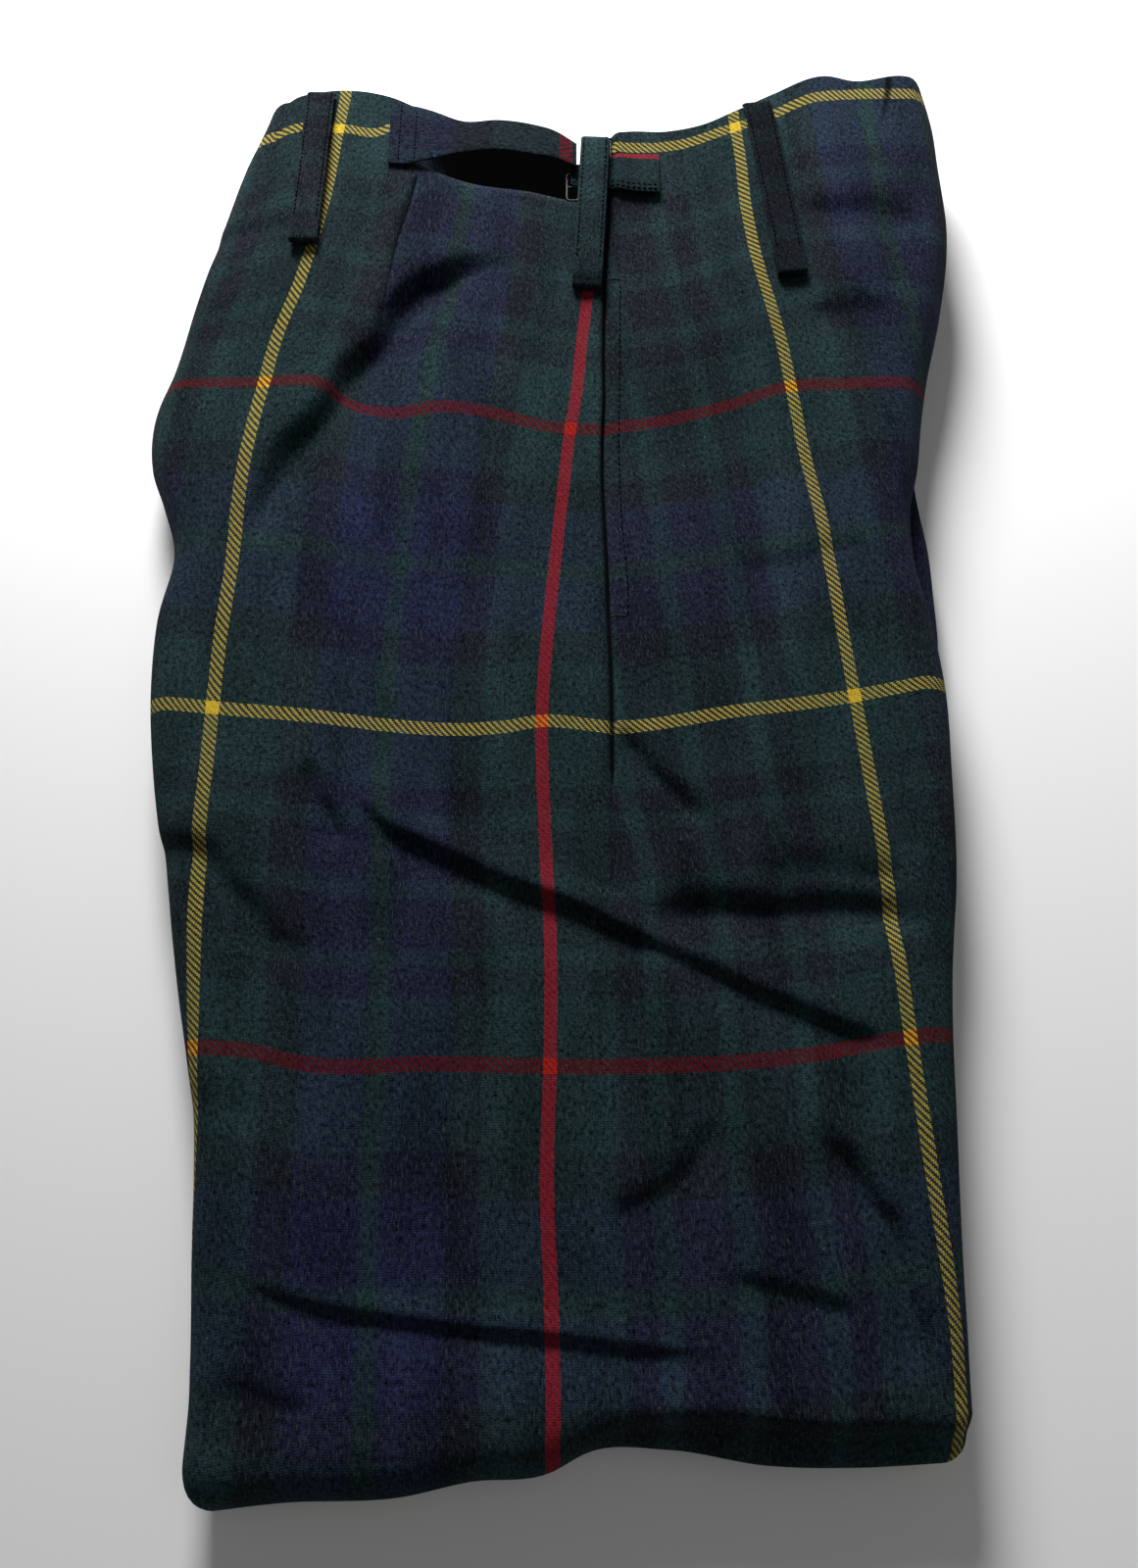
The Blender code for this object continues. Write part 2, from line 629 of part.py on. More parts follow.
def buckle(material, collection, cutters):
    """A two-slot slide buckle, flat under the strap's end."""
    x, y, z = BUCKLE_CENTRE
    width, height = BUCKLE_SIZE
    frame = box("adjuster_buckle", (x, y, z), (width, height, BUCKLE_WIRE), collection)
    frame.data.materials.append(material)
    for side in (-1.0, 1.0):
        slot_width = (width - 3 * BUCKLE_WIRE) / 2
        place = (x + side * (slot_width + BUCKLE_WIRE) / 2, y, z)
        slot = box("buckle_slot", place, (slot_width, height - 2 * BUCKLE_WIRE, 3 * BUCKLE_WIRE), cutters)
        slot.hide_render = True
        slot.display_type = "WIRE"
        cut = frame.modifiers.new("Slot", "BOOLEAN")
        cut.operation = "DIFFERENCE"
        cut.object = slot
    round_edges = frame.modifiers.new("Round", "BEVEL")
    round_edges.width = 0.4 * MM
    round_edges.segments = 1
    return frame


def box(name, centre, size, collection):
    bm = bmesh.new()
    bmesh.ops.create_cube(bm, size=1.0)
    bmesh.ops.scale(bm, vec=Vector(size) * MM, verts=bm.verts)
    bmesh.ops.translate(bm, vec=Vector(centre) * MM, verts=bm.verts)
    mesh = bpy.data.meshes.new(name)
    bm.to_mesh(mesh)
    bm.free()
    obj = bpy.data.objects.new(name, mesh)
    collection.objects.link(obj)
    return obj


def main():
    for obj in list(bpy.data.objects):
        bpy.data.objects.remove(obj)
    collection = bpy.data.collections.new("Tartan trews")
    cutters = bpy.data.collections.new("Cutters")
    bpy.context.scene.collection.children.link(collection)
    bpy.context.scene.collection.children.link(cutters)
    tartan = principled("Tartan wool", (0.012, 0.022, 0.027), 0.9)
    facing = principled("Black facing", (0.004, 0.004, 0.005), 0.8)
    loops = principled("Navy loop", (0.01, 0.012, 0.018), 0.9)
    strap = principled("Tartan strap", (0.014, 0.02, 0.03), 0.9)
    metal = principled("Nickel", (0.62, 0.61, 0.58), 0.3, 1.0)

    grid = near_leg_grid()
    normals = grid_normals(grid)
    seam = SIDE_COLUMNS + BACK_COLUMNS
    outer_back, outer_front = seam_gap(grid, seam)
    inner_back, inner_front = seam_gap(grid - normals * CLOTH, seam)
    cloth_wall("back_leg_panel", outer_back, inner_back, tartan, collection)
    cloth_wall("front_leg_panel", outer_front, inner_front, tartan, collection)
    hidden_layers(grid, normals, tartan, collection)
    waist_facing(facing, collection)
    tree = cloth_tree(grid)
    for row in LOOPS:
        belt_loop(row, tree, loops, collection)
    band("adjuster_strap", STRAP, STRAP_COLUMNS, strap_height, STRAP_THICKNESS, tree, strap, collection)
    band("adjuster_tab", TAB, TAB_COLUMNS, lambda x: TAB_HEIGHT, TAB_THICKNESS, tree, strap, collection)
    buckle(metal, collection, cutters)
    to_origin = Matrix.Translation(Vector((-MIDDLE[0], -MIDDLE[1], 0.0)) * MM)
    for obj in [*collection.objects, *cutters.objects]:
        obj.data.transform(to_origin)


main()
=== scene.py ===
"""Looks of the tartan trews: woven cloth, trims, light and camera.

Tables are in millimetres, in the same places as the part's own, and move to the part's origin at
the end of each piece.
"""
import math

import bpy
import numpy as np
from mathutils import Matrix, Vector
from mathutils.bvhtree import BVHTree


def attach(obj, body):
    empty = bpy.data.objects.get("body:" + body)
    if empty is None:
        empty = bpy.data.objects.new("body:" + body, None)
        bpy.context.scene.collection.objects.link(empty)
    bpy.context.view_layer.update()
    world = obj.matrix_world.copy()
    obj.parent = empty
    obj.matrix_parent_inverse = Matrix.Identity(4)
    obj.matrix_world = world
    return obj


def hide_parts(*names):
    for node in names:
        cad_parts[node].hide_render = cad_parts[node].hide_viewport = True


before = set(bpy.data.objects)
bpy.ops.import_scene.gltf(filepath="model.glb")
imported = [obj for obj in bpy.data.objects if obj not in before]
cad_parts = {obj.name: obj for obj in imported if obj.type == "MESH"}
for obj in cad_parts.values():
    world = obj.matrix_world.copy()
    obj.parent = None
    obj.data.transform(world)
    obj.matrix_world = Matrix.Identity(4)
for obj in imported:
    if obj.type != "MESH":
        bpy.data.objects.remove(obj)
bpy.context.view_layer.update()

MM = 0.001
MIDDLE = np.array((-1.3, 0.4, 0.0))

# Driving dimensions
CLOTH = 1.5
RIM = 0.35
GAP = 0.3
SEAM_GAP = 0.04
EDGE_GAP = 0.45
FOLD_RADIUS = 18.0
HEM_Y = 65.0
LOWER_LEG_TAPER = 0.06
LOWER_LEG_INSET = 2.0
LOWER_LEG_ROLL_LENGTH = 70.0
WAIST_RECESS = 36.0
UPPER_LENGTH = 640.0
LEDGE = 3.4
FACING = 1.0
LOOP_WIDTH = 15.0
LOOP_THICKNESS = 1.8
STRAP_THICKNESS = 1.8
TAB_THICKNESS = 1.5
TAB_HEIGHT = 52.4
DEEPEST_GROOVE = 3.0
FAR_WAIST_LIFT = 6.0
UNDER_CREASES = 4.0
# One thread of the cloth, as woven, towards the bottom fold and along the strap, and one whole repeat
PITCH = 0.67
LOW_PITCH = 0.80
STRAP_PITCH = 0.95
REPEAT = 447

SECTION_COLUMNS = (
    "y", "left", "right", "far_right", "seam", "top", "fall", "fold_w", "fold_h", "turn", "groove",
)
SECTIONS = (
    (-342, -140, 151, 150, 12, 36.0, 1.5, 10, 9.4, 110, 3.0),
    (-300, -141, 153, 152, 13, 36.5, 3.0, 11, 9.6, 110, 3.0),
    (-258, -145, 155, 154, 14, 37.0, 4.0, 11, 9.8, 110, 3.0),
    (-206, -150.5, 159, 158, 16, 37.5, 4.5, 11, 10.0, 110, 3.0),
    (-148, -164, 164, 163, 18, 38.0, 5.0, 12, 10.0, 110, 3.0),
    (-102, -174, 171, 170, 20, 38.5, 5.0, 12, 10.0, 110, 3.0),
    (-60, -184, 174, 173, 21, 39.5, 5.0, 12, 10.2, 110, 3.0),
    (-13, -191, 176, 175, 21, 40.5, 5.0, 12, 10.5, 110, 3.0),
    (20, -192, 173, 179, 20, 41.0, 5.0, 12, 11.0, 110, 3.0),
    (57, -188, 168, 181, 19, 42.0, 5.0, 12, 12.5, 108, 3.0),
    (84, -197, 170, 179, 18, 43.0, 5.0, 14, 15.0, 104, 2.4),
    (106, -206, 176, 177, 18, 44.0, 5.0, 16, 18.5, 99, 1.2),
    (134, -208, 181, 181, 19, 46.0, 5.0, 18, 20.5, 95, 0.0),
    (158, -202, 186, 186, 19, 47.0, 5.0, 18, 21.0, 95, 0.0),
    (198, -195, 196.5, 196.5, 20, 50.0, 5.0, 18, 22.5, 95, 0.0),
    (250, -184, 205.5, 205.5, 23, 53.0, 4.0, 18, 24.5, 95, 0.0),
    (290, -175, 205, 205, 24, 55.0, 3.0, 17, 26.0, 95, 0.0),
    (318, -166, 204, 204, 24, 56.0, 3.0, 16, 26.5, 95, 0.0),
    (342, -160, 200, 200, 24, 57.0, 3.0, 15, 27.0, 95, 0.0),
)
LINE_COLUMNS = ("x", "y")
NEAR_WAIST = (
    (-166, 303), (-158, 310), (-148, 323), (-133, 328), (-107, 328), (-94, 324), (-78, 315), (-55, 304),
    (-20, 297), (12, 291), (30, 297), (55, 298), (74, 303), (93, 314), (112, 325), (142, 339), (156, 336),
    (186, 341), (204, 336),
)
FAR_WAIST = (
    (-166, 307), (-133, 323), (-80, 336), (-50, 343), (-20, 343), (-9, 342), (-2, 339), (4, 331),
    (10, 323), (20, 318), (60, 316), (102, 325), (204, 335),
)
BOTTOM_FOLD = (
    (-141, -344), (-104, -340), (-60, -338), (-35, -333), (-5, -330), (8, -324), (40, -323), (75, -328),
    (110, -329), (152, -327),
)
SAG_DEPTH = 43.0
SAG_REACH = 42.0
SAG_START = (-98.0, -82.0)
SAG_WIDTH = 20.0
SAG_END = (2.0, 20.0)

# Creases of the upper cloth, each listed with its waist side on the left: depth, lip raised on the
# waist side, width of the steep waist side and of the shallow side below
CREASE_COLUMNS = ("name", "depth", "lip", "steep", "shallow", "line")
CREASES = (
    ("seat fold", 7.0, 2.2, 5.6, 20,
     ((-148, 50), (-146, 71), (-140, 90), (-130, 110), (-119, 127), (-110, 139), (-104, 151), (-94, 166),
      (-82, 186), (-70, 202), (-53, 211), (-38, 211), (-19, 209))),
    ("thigh crease", 4.4, 2.6, 2.6, 13,
     ((-97, -69), (-77, -87), (-53, -98), (-9, -117), (38, -137), (56, -144))),
    ("front of the thigh crease", 3.6, 1.8, 3.0, 12,
     ((34, -136), (42, -139), (60, -147), (78, -157), (97, -165), (116, -171), (138, -175))),
    ("front hollow", 6.0, 1.2, 7.0, 14, ((26, -123), (66, -121), (100, -121), (137, -122), (160, -124))),
    ("hollow above the front hollow", 3.4, 0.8, 8.0, 16, ((76, -108), (100, -106), (125, -105), (152, -104))),
    ("front of the knee", 3.8, 1.2, 4.4, 11, ((22, -38), (33, -52), (47, -68), (64, -86))),
    ("back crease", 4.0, 1.2, 6.0, 16, ((-182, -84), (-155, -96), (-140, -112), (-127, -128), (-104, -146))),
    ("back of the knee", 3.2, 1.0, 3.2, 10, ((-113, -52), (-106, -72), (-93, -94))),
    ("low crease", 2.6, 1.1, 1.7, 11,
     ((-134, -262), (-123, -265.5), (-90, -275), (-71, -278), (-37, -281), (-5, -285), (24, -287.5),
      (45, -289.5), (66, -294))),
    ("fold by the front edge", 6.0, 1.2, 4.0, 16,
     ((98, -203), (113, -226), (125, -243), (131, -264), (135, -284), (137, -306))),
    ("hollow by the front edge", 2.6, 0.8, 3.6, 11, ((60, -262), (74, -267), (97, -273), (114, -277))),
    ("slope below the knee", 3.0, 0.8, 5.5, 15, ((16, -248), (36, -235), (52, -221), (66, -205))),
    ("hollow at the back corner", 2.2, 0.6, 4.5, 12, ((-132, -298), (-119, -303), (-107, -308), (-92, -311))),
    ("roll of the bottom fold", 8.0, 0.6, 3.4, 90,
     ((-20, -338), (-2, -333), (16, -321), (27, -316), (45, -314), (95, -317), (146, -320), (166, -321))),
    ("fold at the front of the waist", 2.6, 1.2, 7.0, 16, ((118, 246), (154, 249), (188, 243))),
    ("fold at the front of the hip", 2.0, 1.0, 7.0, 14, ((120, 183), (150, 187), (168, 186))),
    ("ripple under the back loop", 1.2, 0.5, 5.0, 11, ((-178, 232), (-158, 238), (-140, 240))),
    ("ripple at the back", 1.3, 0.5, 6.0, 14, ((-176, -190), (-150, -196), (-118, -206))),
    ("ripple at the front", 1.3, 0.5, 6.0, 14, ((76, 40), (112, 46), (150, 58))),
)
# Slight waves of the laid cloth: height, and its turns across and along
WAVES = (
    (0.50, 0.031, 0.017, 0.4),
    (0.42, -0.019, 0.041, 2.1),
    (0.30, 0.057, -0.026, 1.2),
    (0.16, 0.101, 0.073, 3.0),
)
# Where the facing of the fly ends at the waist; the wool paints a line of shade along it
FLY = ((176, 339), (175, 330), (171, 312), (166, 298))
# The back dart: a groove in the cloth, with painted shade along it in the wool
DART = ((-78, 268), (-81, 251), (-86, 230), (-89, 207), (-92, 183), (-96, 158))
# The pocket's mouth lies in the side seam between these two places along it
POCKET = (16.0, 204.0)
# Where the painted shade along the side seam begins to fade out
SEAM_END = -58.0
# Distance given to points that no seam is near, so that no painted seam shade falls on them
FAR_FROM_SEAMS = 99.0
# Columns beside the seam, as distances from it
NEAR_SEAM = np.array((0.0128, 0.0098, 0.0072, 0.0050, 0.0034, 0.0020, 0.0010))
# Rows of a panel round the bottom fold and under it, and how far its black lining reaches down
FOLD_STEPS = 16
LOWER_ROWS = 26
LINING_DEPTH = 35.0
# First guess of the waist's place and of the length, before they are read at each column
WAIST_GUESS = 342.0
LENGTH_GUESS = 665.0

LOOP_COLUMNS = ("name", "rise", "threads", "line")
LOOPS = (
    ("belt_loop_back", 3.0, (308.0, 260.0), ((-131, 325), (-132, 275), (-134, 226))),
    ("belt_loop_side", 5.4, (240.0, 224.0), ((16, 289), (14, 250), (11, 197))),
    ("belt_loop_front", 3.0, (312.0, 244.0), ((102, 316), (108, 265), (115, 205))),
)
LOOP_PROFILE = ((0.0, 0.0), (0.05, 0.85), (0.3, 1.0), (0.6, 1.0), (0.9, 0.95))
LOOP_LIFT = 1.3
LOOP_TURN_UNDER = 10.0
PATH_STEPS = 12

# One stitch: share of its length, its swell and its rise
STITCH_PROFILE = ((0.0, 0.35, -0.5), (0.2, 0.9, 0.1), (0.5, 1.0, 0.35), (0.8, 0.9, 0.1), (1.0, 0.35, -0.5))
STITCH_SIDES = 6
EDGE_STITCH_INSET = 1.7
EDGE_STITCH_HEIGHT = 0.46
TAB_STITCH_INSETS = (1.7, 4.4)
STRAP_STITCHES = (-87.5, -79.0)
# Length, gap and radius of the stitches
EDGE_STITCH = (2.2, 0.6, 0.36)
POCKET_STITCH = (2.2, 1.0, 0.32)
TACK_STITCH = (1.1, 0.15, 0.4)
POCKET_LINE = ((28, 201), (27, 149), (26, 102), (27, 64), (29, 36), (29, 16))
TACKS = (("bar_tack_upper", 204), ("bar_tack_lower", 16))
# Where the strap and the tab lie in the pattern, in threads
STRAP_THREADS = (308.0, 116.0)
TAB_THREADS = (235.0, 222.0)

STRAP_COLUMNS = ("x", "low", "high", "z")
STRAP = (
    (-93, 275, 319, 50.0),
    (-84, 274, 316, 56.0),
    (-72, 276, 311, 57.5),
    (-54, 281, 303, 57.5),
    (-35, 283, 304, 57.5),
    (-18, 280, 301, 57.5),
    (-5, 277, 296, 57.5),
    (6, 271, 287, 57.5),
)
# The buckle of round wire, beside the strap's end and partly under the tab
BUCKLE_CORNERS = ((0.9, 254.5), (8.5, 272.5))
BUCKLE_CORNER_RADIUS = 1.8
BUCKLE_Z = 51.5
BUCKLE_WIRE = 0.5
WIRE_SIDES = 12
TAB_COLUMNS = ("x", "low", "high")
TAB = ((3, 264, 278), (13, 262, 279), (25, 258, 281), (34, 256, 281), (49, 255, 281))

# Where lines of the pattern lie on the cloth. Along the leg: x of a line at each y
WARP_LEFT = (
    (-325, -151), (-226, -152), (-193, -153), (-157, -154.5), (-107, -158), (-55, -158.3), (12, -158.3),
    (43, -156.8), (76, -156.5), (113, -153.7), (145, -149.5), (168, -146), (203, -136), (227, -130.4),
    (264, -124.5), (300, -121.5), (325, -119),
)
WARP_MIDDLE = (
    (-327, -4), (-275, -5.2), (-226, -7.3), (-184, -6.2), (-133, -6.4), (-88, -8.9), (-35, -10.8), (11, -8.1),
    (46, -5.1), (83, -1.5), (115, 1.8), (137, 5.1), (166, 7.6), (195, 10.7), (290, 16),
)
WARP_RIGHT = (
    (-322, 146), (-288, 147.2), (-226, 143.8), (-173, 140.9), (-116, 138), (-55, 133.4), (12, 127.2),
    (43, 124.5), (74, 120.9), (106, 116), (141, 111.5), (167, 108), (190, 103.1), (213, 98.3), (250, 93.6),
    (282, 92), (307, 89.7),
)
# Across the leg: y of a line at each x, on the back and on the front panel
WEFT_WAIST_BACK = (
    (-190, 268), (-164, 290), (-149, 302), (-119, 302), (-96, 300),
    (-90, 305), (-82, 313), (-70, 322), (-50, 312), (-20, 300), (22, 289),
)
WEFT_WAIST_FRONT = (
    (20, 287), (49, 287), (64, 290), (83, 298), (110, 310), (134, 323), (153, 326), (192, 329),
)
WEFT_RED_BACK = (
    (-196, 147), (-149, 145), (-129, 144), (-113, 140), (-102, 132), (-84, 126), (-60, 128), (-36, 124),
    (-8, 117), (18, 115),
)
WEFT_RED_FRONT = ((20, 116), (49, 121), (78, 129), (108, 141), (138, 144), (177, 147))
WEFT_YELLOW_BACK = (
    (-187, -24), (-158, -28), (-134, -31), (-107, -34), (-76, -38), (-46, -40), (-29, -39), (-11, -36),
    (20, -39),
)
WEFT_YELLOW_FRONT = (
    (20, -39), (37, -38), (54, -35), (76, -31), (98, -28), (132, -22), (152, -17), (173, -12),
)
WEFT_LOW = (
    (-154, -176), (-125, -179), (-109, -183), (-49, -184), (17, -185), (73, -183), (101, -180), (122, -176),
    (157, -171),
)
# Stripes of one repeat from the yellow line on, in threads
STRIPES = (
    ("yellow", 8), ("green", 38), ("black", 21), ("navy", 39), ("green", 12), ("navy", 39), ("black", 21),
    ("green", 38), ("red", 8), ("green", 40), ("black", 18), ("green", 13), ("black", 34), ("green", 13),
    ("black", 34), ("green", 13), ("black", 18), ("green", 40),
)
MIDDLE_LINE = 216.0
SOFT_EDGE = 1.3
TWILL = 0.893
THREADS = {
    "green": (0.0115, 0.0265, 0.0285),
    "navy": (0.0115, 0.0135, 0.0390),
    "black": (0.0088, 0.0108, 0.0158),
    "red": (0.2500, 0.0120, 0.0220),
    "yellow": (0.3500, 0.2750, 0.0550),
}
# How much of a bright thread shows where it passes under, along the leg and across it
SHOWING = {"red": (0.50, 0.16), "yellow": (0.03, 0.03)}
# How bright a line is along the leg and across it
LINE_SHADE = {"red": (1.10, 0.45), "yellow": (1.15, 1.15)}


def smooth_step(value):
    value = np.clip(value, 0.0, 1.0)
    return value * value * (3.0 - 2.0 * value)


def curve(t, first, last, first_slope, last_slope, step=1.0):
    """A smooth curve between two values with given slopes, at a share t of the way."""
    start = (2 * t**3 - 3 * t**2 + 1) * first + (t**3 - 2 * t**2 + t) * step * first_slope
    end = (3 * t**2 - 2 * t**3) * last + (t**3 - t**2) * step * last_slope
    return start + end


def read(table, columns, name, at):
    """Read a named column of a table at the given places, as a smooth curve."""
    keys = np.array([row[0] for row in table], float)
    values = np.array([row[columns.index(name)] for row in table], float)
    slopes = np.gradient(values, keys)
    at = np.clip(at, keys[0], keys[-1])
    i = np.clip(np.searchsorted(keys, at) - 1, 0, len(keys) - 2)
    step = keys[i + 1] - keys[i]
    return curve((at - keys[i]) / step, values[i], values[i + 1], slopes[i], slopes[i + 1], step)


def line(table, at):
    return read(table, LINE_COLUMNS, "y", at)


def section(name, y):
    return read(SECTIONS, SECTION_COLUMNS, name, y)


def distance_to_line(x, y, points):
    """Signed distance to a line, positive on its left, and the share of its length reached."""
    points = np.array(points, float)
    lengths = np.hypot(*np.diff(points, axis=0).T)
    best = np.full(np.shape(x), np.inf)
    side = np.zeros(np.shape(x))
    share = np.zeros(np.shape(x))
    walked = 0.0
    for start, end, length in zip(points[:-1], points[1:], lengths):
        along = (end - start) / length
        reach = (x - start[0]) * along[0] + (y - start[1]) * along[1]
        offset = (y - start[1]) * along[0] - (x - start[0]) * along[1]
        past = reach - np.clip(reach, 0.0, length)
        distance = np.hypot(past, offset)
        nearer = distance < best
        best = np.where(nearer, distance, best)
        side = np.where(nearer, np.where(offset < 0, -distance, distance), side)
        share = np.where(nearer, (walked + np.clip(reach, 0.0, length)) / lengths.sum(), share)
        walked += length
    return side, share


def creases(x, y):
    """Height of the creases: a lip on the waist side, a steep drop, then a slow rise below."""
    height = np.zeros(np.shape(x))
    wander = 1.1 * np.sin(0.11 * x + 0.07 * y) + 0.7 * np.sin(0.05 * x - 0.19 * y + 1.0)
    for row in CREASES:
        fold = dict(zip(CREASE_COLUMNS, row))
        steep = fold["steep"]
        side, share = distance_to_line(x, y, fold["line"])
        side = side + wander * min(steep / 5.0, 1.0)
        fade = smooth_step(share / 0.22) * smooth_step((1.0 - share) / 0.22)
        below = np.exp(-(np.abs(np.minimum(side, 0.0)) / fold["shallow"]) ** 1.4)
        above = np.exp(-((np.maximum(side, 0.0) / steep) ** 2))
        crest = side - 2.1 * steep
        lip = np.exp(-((crest / np.where(crest > 0, 3.2 * steep, 1.3 * steep)) ** 2))
        height += fade * (fold["lip"] * lip - fold["depth"] * below * above)
    return height


def sag(x, y):
    """How far the waist drops into the hollow between the strap's ends."""
    share = np.clip(1.0 - (line(NEAR_WAIST, x) - y) / SAG_REACH, 0.0, 1.0)
    start = SAG_START[0] + (SAG_START[1] - SAG_START[0]) * share
    across = smooth_step((x - start) / SAG_WIDTH)
    across *= 1.0 - smooth_step((x - SAG_END[0]) / (SAG_END[1] - SAG_END[0]))
    return SAG_DEPTH * across * smooth_step(share)


def seams(x, y):
    """Height of the side seam's groove, the pocket's mouth and the back dart."""
    offset = x - section("seam", y)
    fade = smooth_step((y + 70.0) / 14.0)
    mouth = smooth_step((y - POCKET[0]) / 14.0) * smooth_step((POCKET[1] - y) / 14.0)
    groove = -1.7 * np.exp(-((offset / 1.5) ** 2)) + 0.4 * np.exp(-(((np.abs(offset) - 4.4) / 2.4) ** 2))
    step = mouth * np.where(offset >= 0, -1.5, 0.9) * np.exp(-((offset / 5.0) ** 2))
    side, share = distance_to_line(x, y, DART)
    deep = smooth_step(share / 0.03) * (1.0 - 0.8 * share)
    dart = deep * (-1.5 * np.exp(-((side / 1.4) ** 2)) + 0.9 * np.exp(-(((side + 4.5) / 4.0) ** 2)))
    return fade * (groove + step) + dart


def waves(x, y):
    return sum(height * np.sin(across * x + along * y + start) for height, across, along, start in WAVES)


def cloth_height(x, y):
    """Height of the upper cloth's outer face between its side folds."""
    left = section("left", y)
    right = section("right", y)
    half = (right - left) / 2 - section("fold_w", y)
    outward = np.clip(np.abs(x - (left + right) / 2) / half, 0.0, 1.0)
    plain = section("top", y) - section("fall", y) * outward**3 - sag(x, y)
    return plain + creases(x, y) + waves(x, y) + seams(x, y)


def across_leg(column, y, left, right, fold_w):
    """X of a column: below 0 and above 1 are the side folds, 0.5 is the side seam."""
    seam = section("seam", y)
    back = left + fold_w + (seam - left - fold_w) * np.clip(2 * column, 0, 1)
    front = seam + (right - fold_w - seam) * np.clip(2 * column - 1, 0, 1)
    return np.where(column < 0.5, back, front)


def fold_angle(column, turn):
    """Angle round the side fold, 0 on the flat."""
    return np.maximum(np.maximum(-column, column - 1), 0.0) * turn


def upper_cloth(column, share):
    """Points of the near leg's cloth from the waist, share 0, to the bottom fold, share 1."""
    y = WAIST_GUESS - LENGTH_GUESS * share
    for _ in range(3):
        fold_w = section("fold_w", y)
        x = across_leg(column, y, section("left", y), section("right", y), fold_w)
        waist = line(NEAR_WAIST, x)
        y = waist + (line(BOTTOM_FOLD, x) + FOLD_RADIUS - waist) * share
    angle = fold_angle(column, np.radians(section("turn", y)))
    side = np.where(column < 0.5, -1.0, 1.0)
    z = cloth_height(x, y) - section("fold_h", y) * (1 - np.cos(angle))
    return np.stack((x + side * fold_w * np.sin(angle), y, z), axis=-1)


def bottom_fold(column, angle_round):
    """Points of the near leg's cloth round the bottom fold, from the top, 0, to the underside, pi."""
    start_y = np.full(np.shape(column), SECTIONS[0][0] + FOLD_RADIUS)
    fold_w = section("fold_w", start_y)
    x = across_leg(column, start_y, section("left", start_y), section("right", start_y), fold_w)
    centre_y = line(BOTTOM_FOLD, x) + FOLD_RADIUS
    angle = fold_angle(column, np.radians(section("turn", start_y)))
    side = np.where(column < 0.5, -1.0, 1.0)
    outward = np.clip(np.abs(2 * column - 1), 0.0, 1.0)
    y = centre_y - FOLD_RADIUS * np.sin(angle_round)
    plain = cloth_height(x, centre_y) - creases(x, centre_y) - 2 * FOLD_RADIUS
    start = plain * np.cos(angle_round / 2) ** 2 + creases(x, y) * np.maximum(np.cos(angle_round), 0.0)
    radius = FOLD_RADIUS - section("fold_h", start_y) * (1 - np.cos(angle))
    inset = LOWER_LEG_INSET * (1 - np.cos(angle_round)) / 2
    x = x + side * (fold_w * np.sin(angle) - inset * outward)
    z = FOLD_RADIUS + radius * np.cos(angle_round) + start
    return np.stack((x, centre_y - radius * np.sin(angle_round), z), axis=-1)


def lower_leg(column, y, inset=0.0):
    """Points of the near leg's cloth on the underside; inset lies that far inside its outer face."""
    start_y = np.full(np.shape(y), SECTIONS[0][0] + FOLD_RADIUS)
    narrower = LOWER_LEG_INSET + LOWER_LEG_TAPER * np.maximum(y - start_y, 0.0)
    left = section("left", start_y) + narrower
    right = section("right", start_y) - narrower
    fold_w = section("fold_w", start_y)
    x = across_leg(column, start_y, left, right, fold_w)
    bottom = line(BOTTOM_FOLD, x) + FOLD_RADIUS
    rolled = 1.0 - smooth_step((y - bottom) / LOWER_LEG_ROLL_LENGTH)
    turn = np.radians(88.0 + (section("turn", start_y) - 88.0) * rolled)
    angle = fold_angle(column, turn)
    side = np.where(column < 0.5, -1.0, 1.0)
    height = np.maximum(section("fold_h", start_y) * rolled - inset, 0.0)
    x = x + side * (fold_w - inset) * np.sin(angle)
    return np.stack((x, y, inset + height * (1 - np.cos(angle))), axis=-1)


def leg_grid(column, shares, fold_steps, lower_rows):
    """Outer face of the near leg's cloth, row by row from the waist, over the fold, to the hem."""
    across, share = np.meshgrid(column, shares)
    upper = upper_cloth(across, share)
    across, angle = np.meshgrid(column, np.linspace(0, math.pi, fold_steps + 1)[1:-1])
    fold = bottom_fold(across, angle)
    across, way = np.meshgrid(column, np.linspace(0, 1, lower_rows))
    first = upper[-1, :, 1]
    lower = lower_leg(across, first + (HEM_Y - first) * way)
    return np.concatenate((upper, fold, lower))


def normals_of(grid):
    normal = np.cross(np.gradient(grid, axis=0), np.gradient(grid, axis=1))
    return normal / np.linalg.norm(normal, axis=2, keepdims=True)


def arc_lengths(grid, axis):
    """Distance walked along an axis of a grid of points."""
    steps = np.linalg.norm(np.diff(grid, axis=axis), axis=2)
    start = np.zeros_like(np.take(steps, [0], axis=axis))
    return np.concatenate((start, np.cumsum(steps, axis=axis)), axis=axis)


def warp_threads(x, y, front):
    """Place across the repeat of a point on the back or the front panel."""
    left = line(WARP_LEFT, y)
    middle = line(WARP_MIDDLE, y)
    right = line(WARP_RIGHT, y)
    matched = smooth_step((-50.0 - y) / 60.0)
    spread = (right - middle) / (REPEAT - MIDDLE_LINE)
    pitch = PITCH + (spread - PITCH) * matched
    if front:
        return REPEAT + (x - right) / np.where(x > right, PITCH, pitch)
    share = (x - left) / (middle - left)
    between = MIDDLE_LINE * share * (1.0 - 0.12 * (1.0 - share))
    threads = np.where(x < left, (x - left) / PITCH, between)
    return np.where(x > middle, MIDDLE_LINE + (x - middle) / pitch, threads)


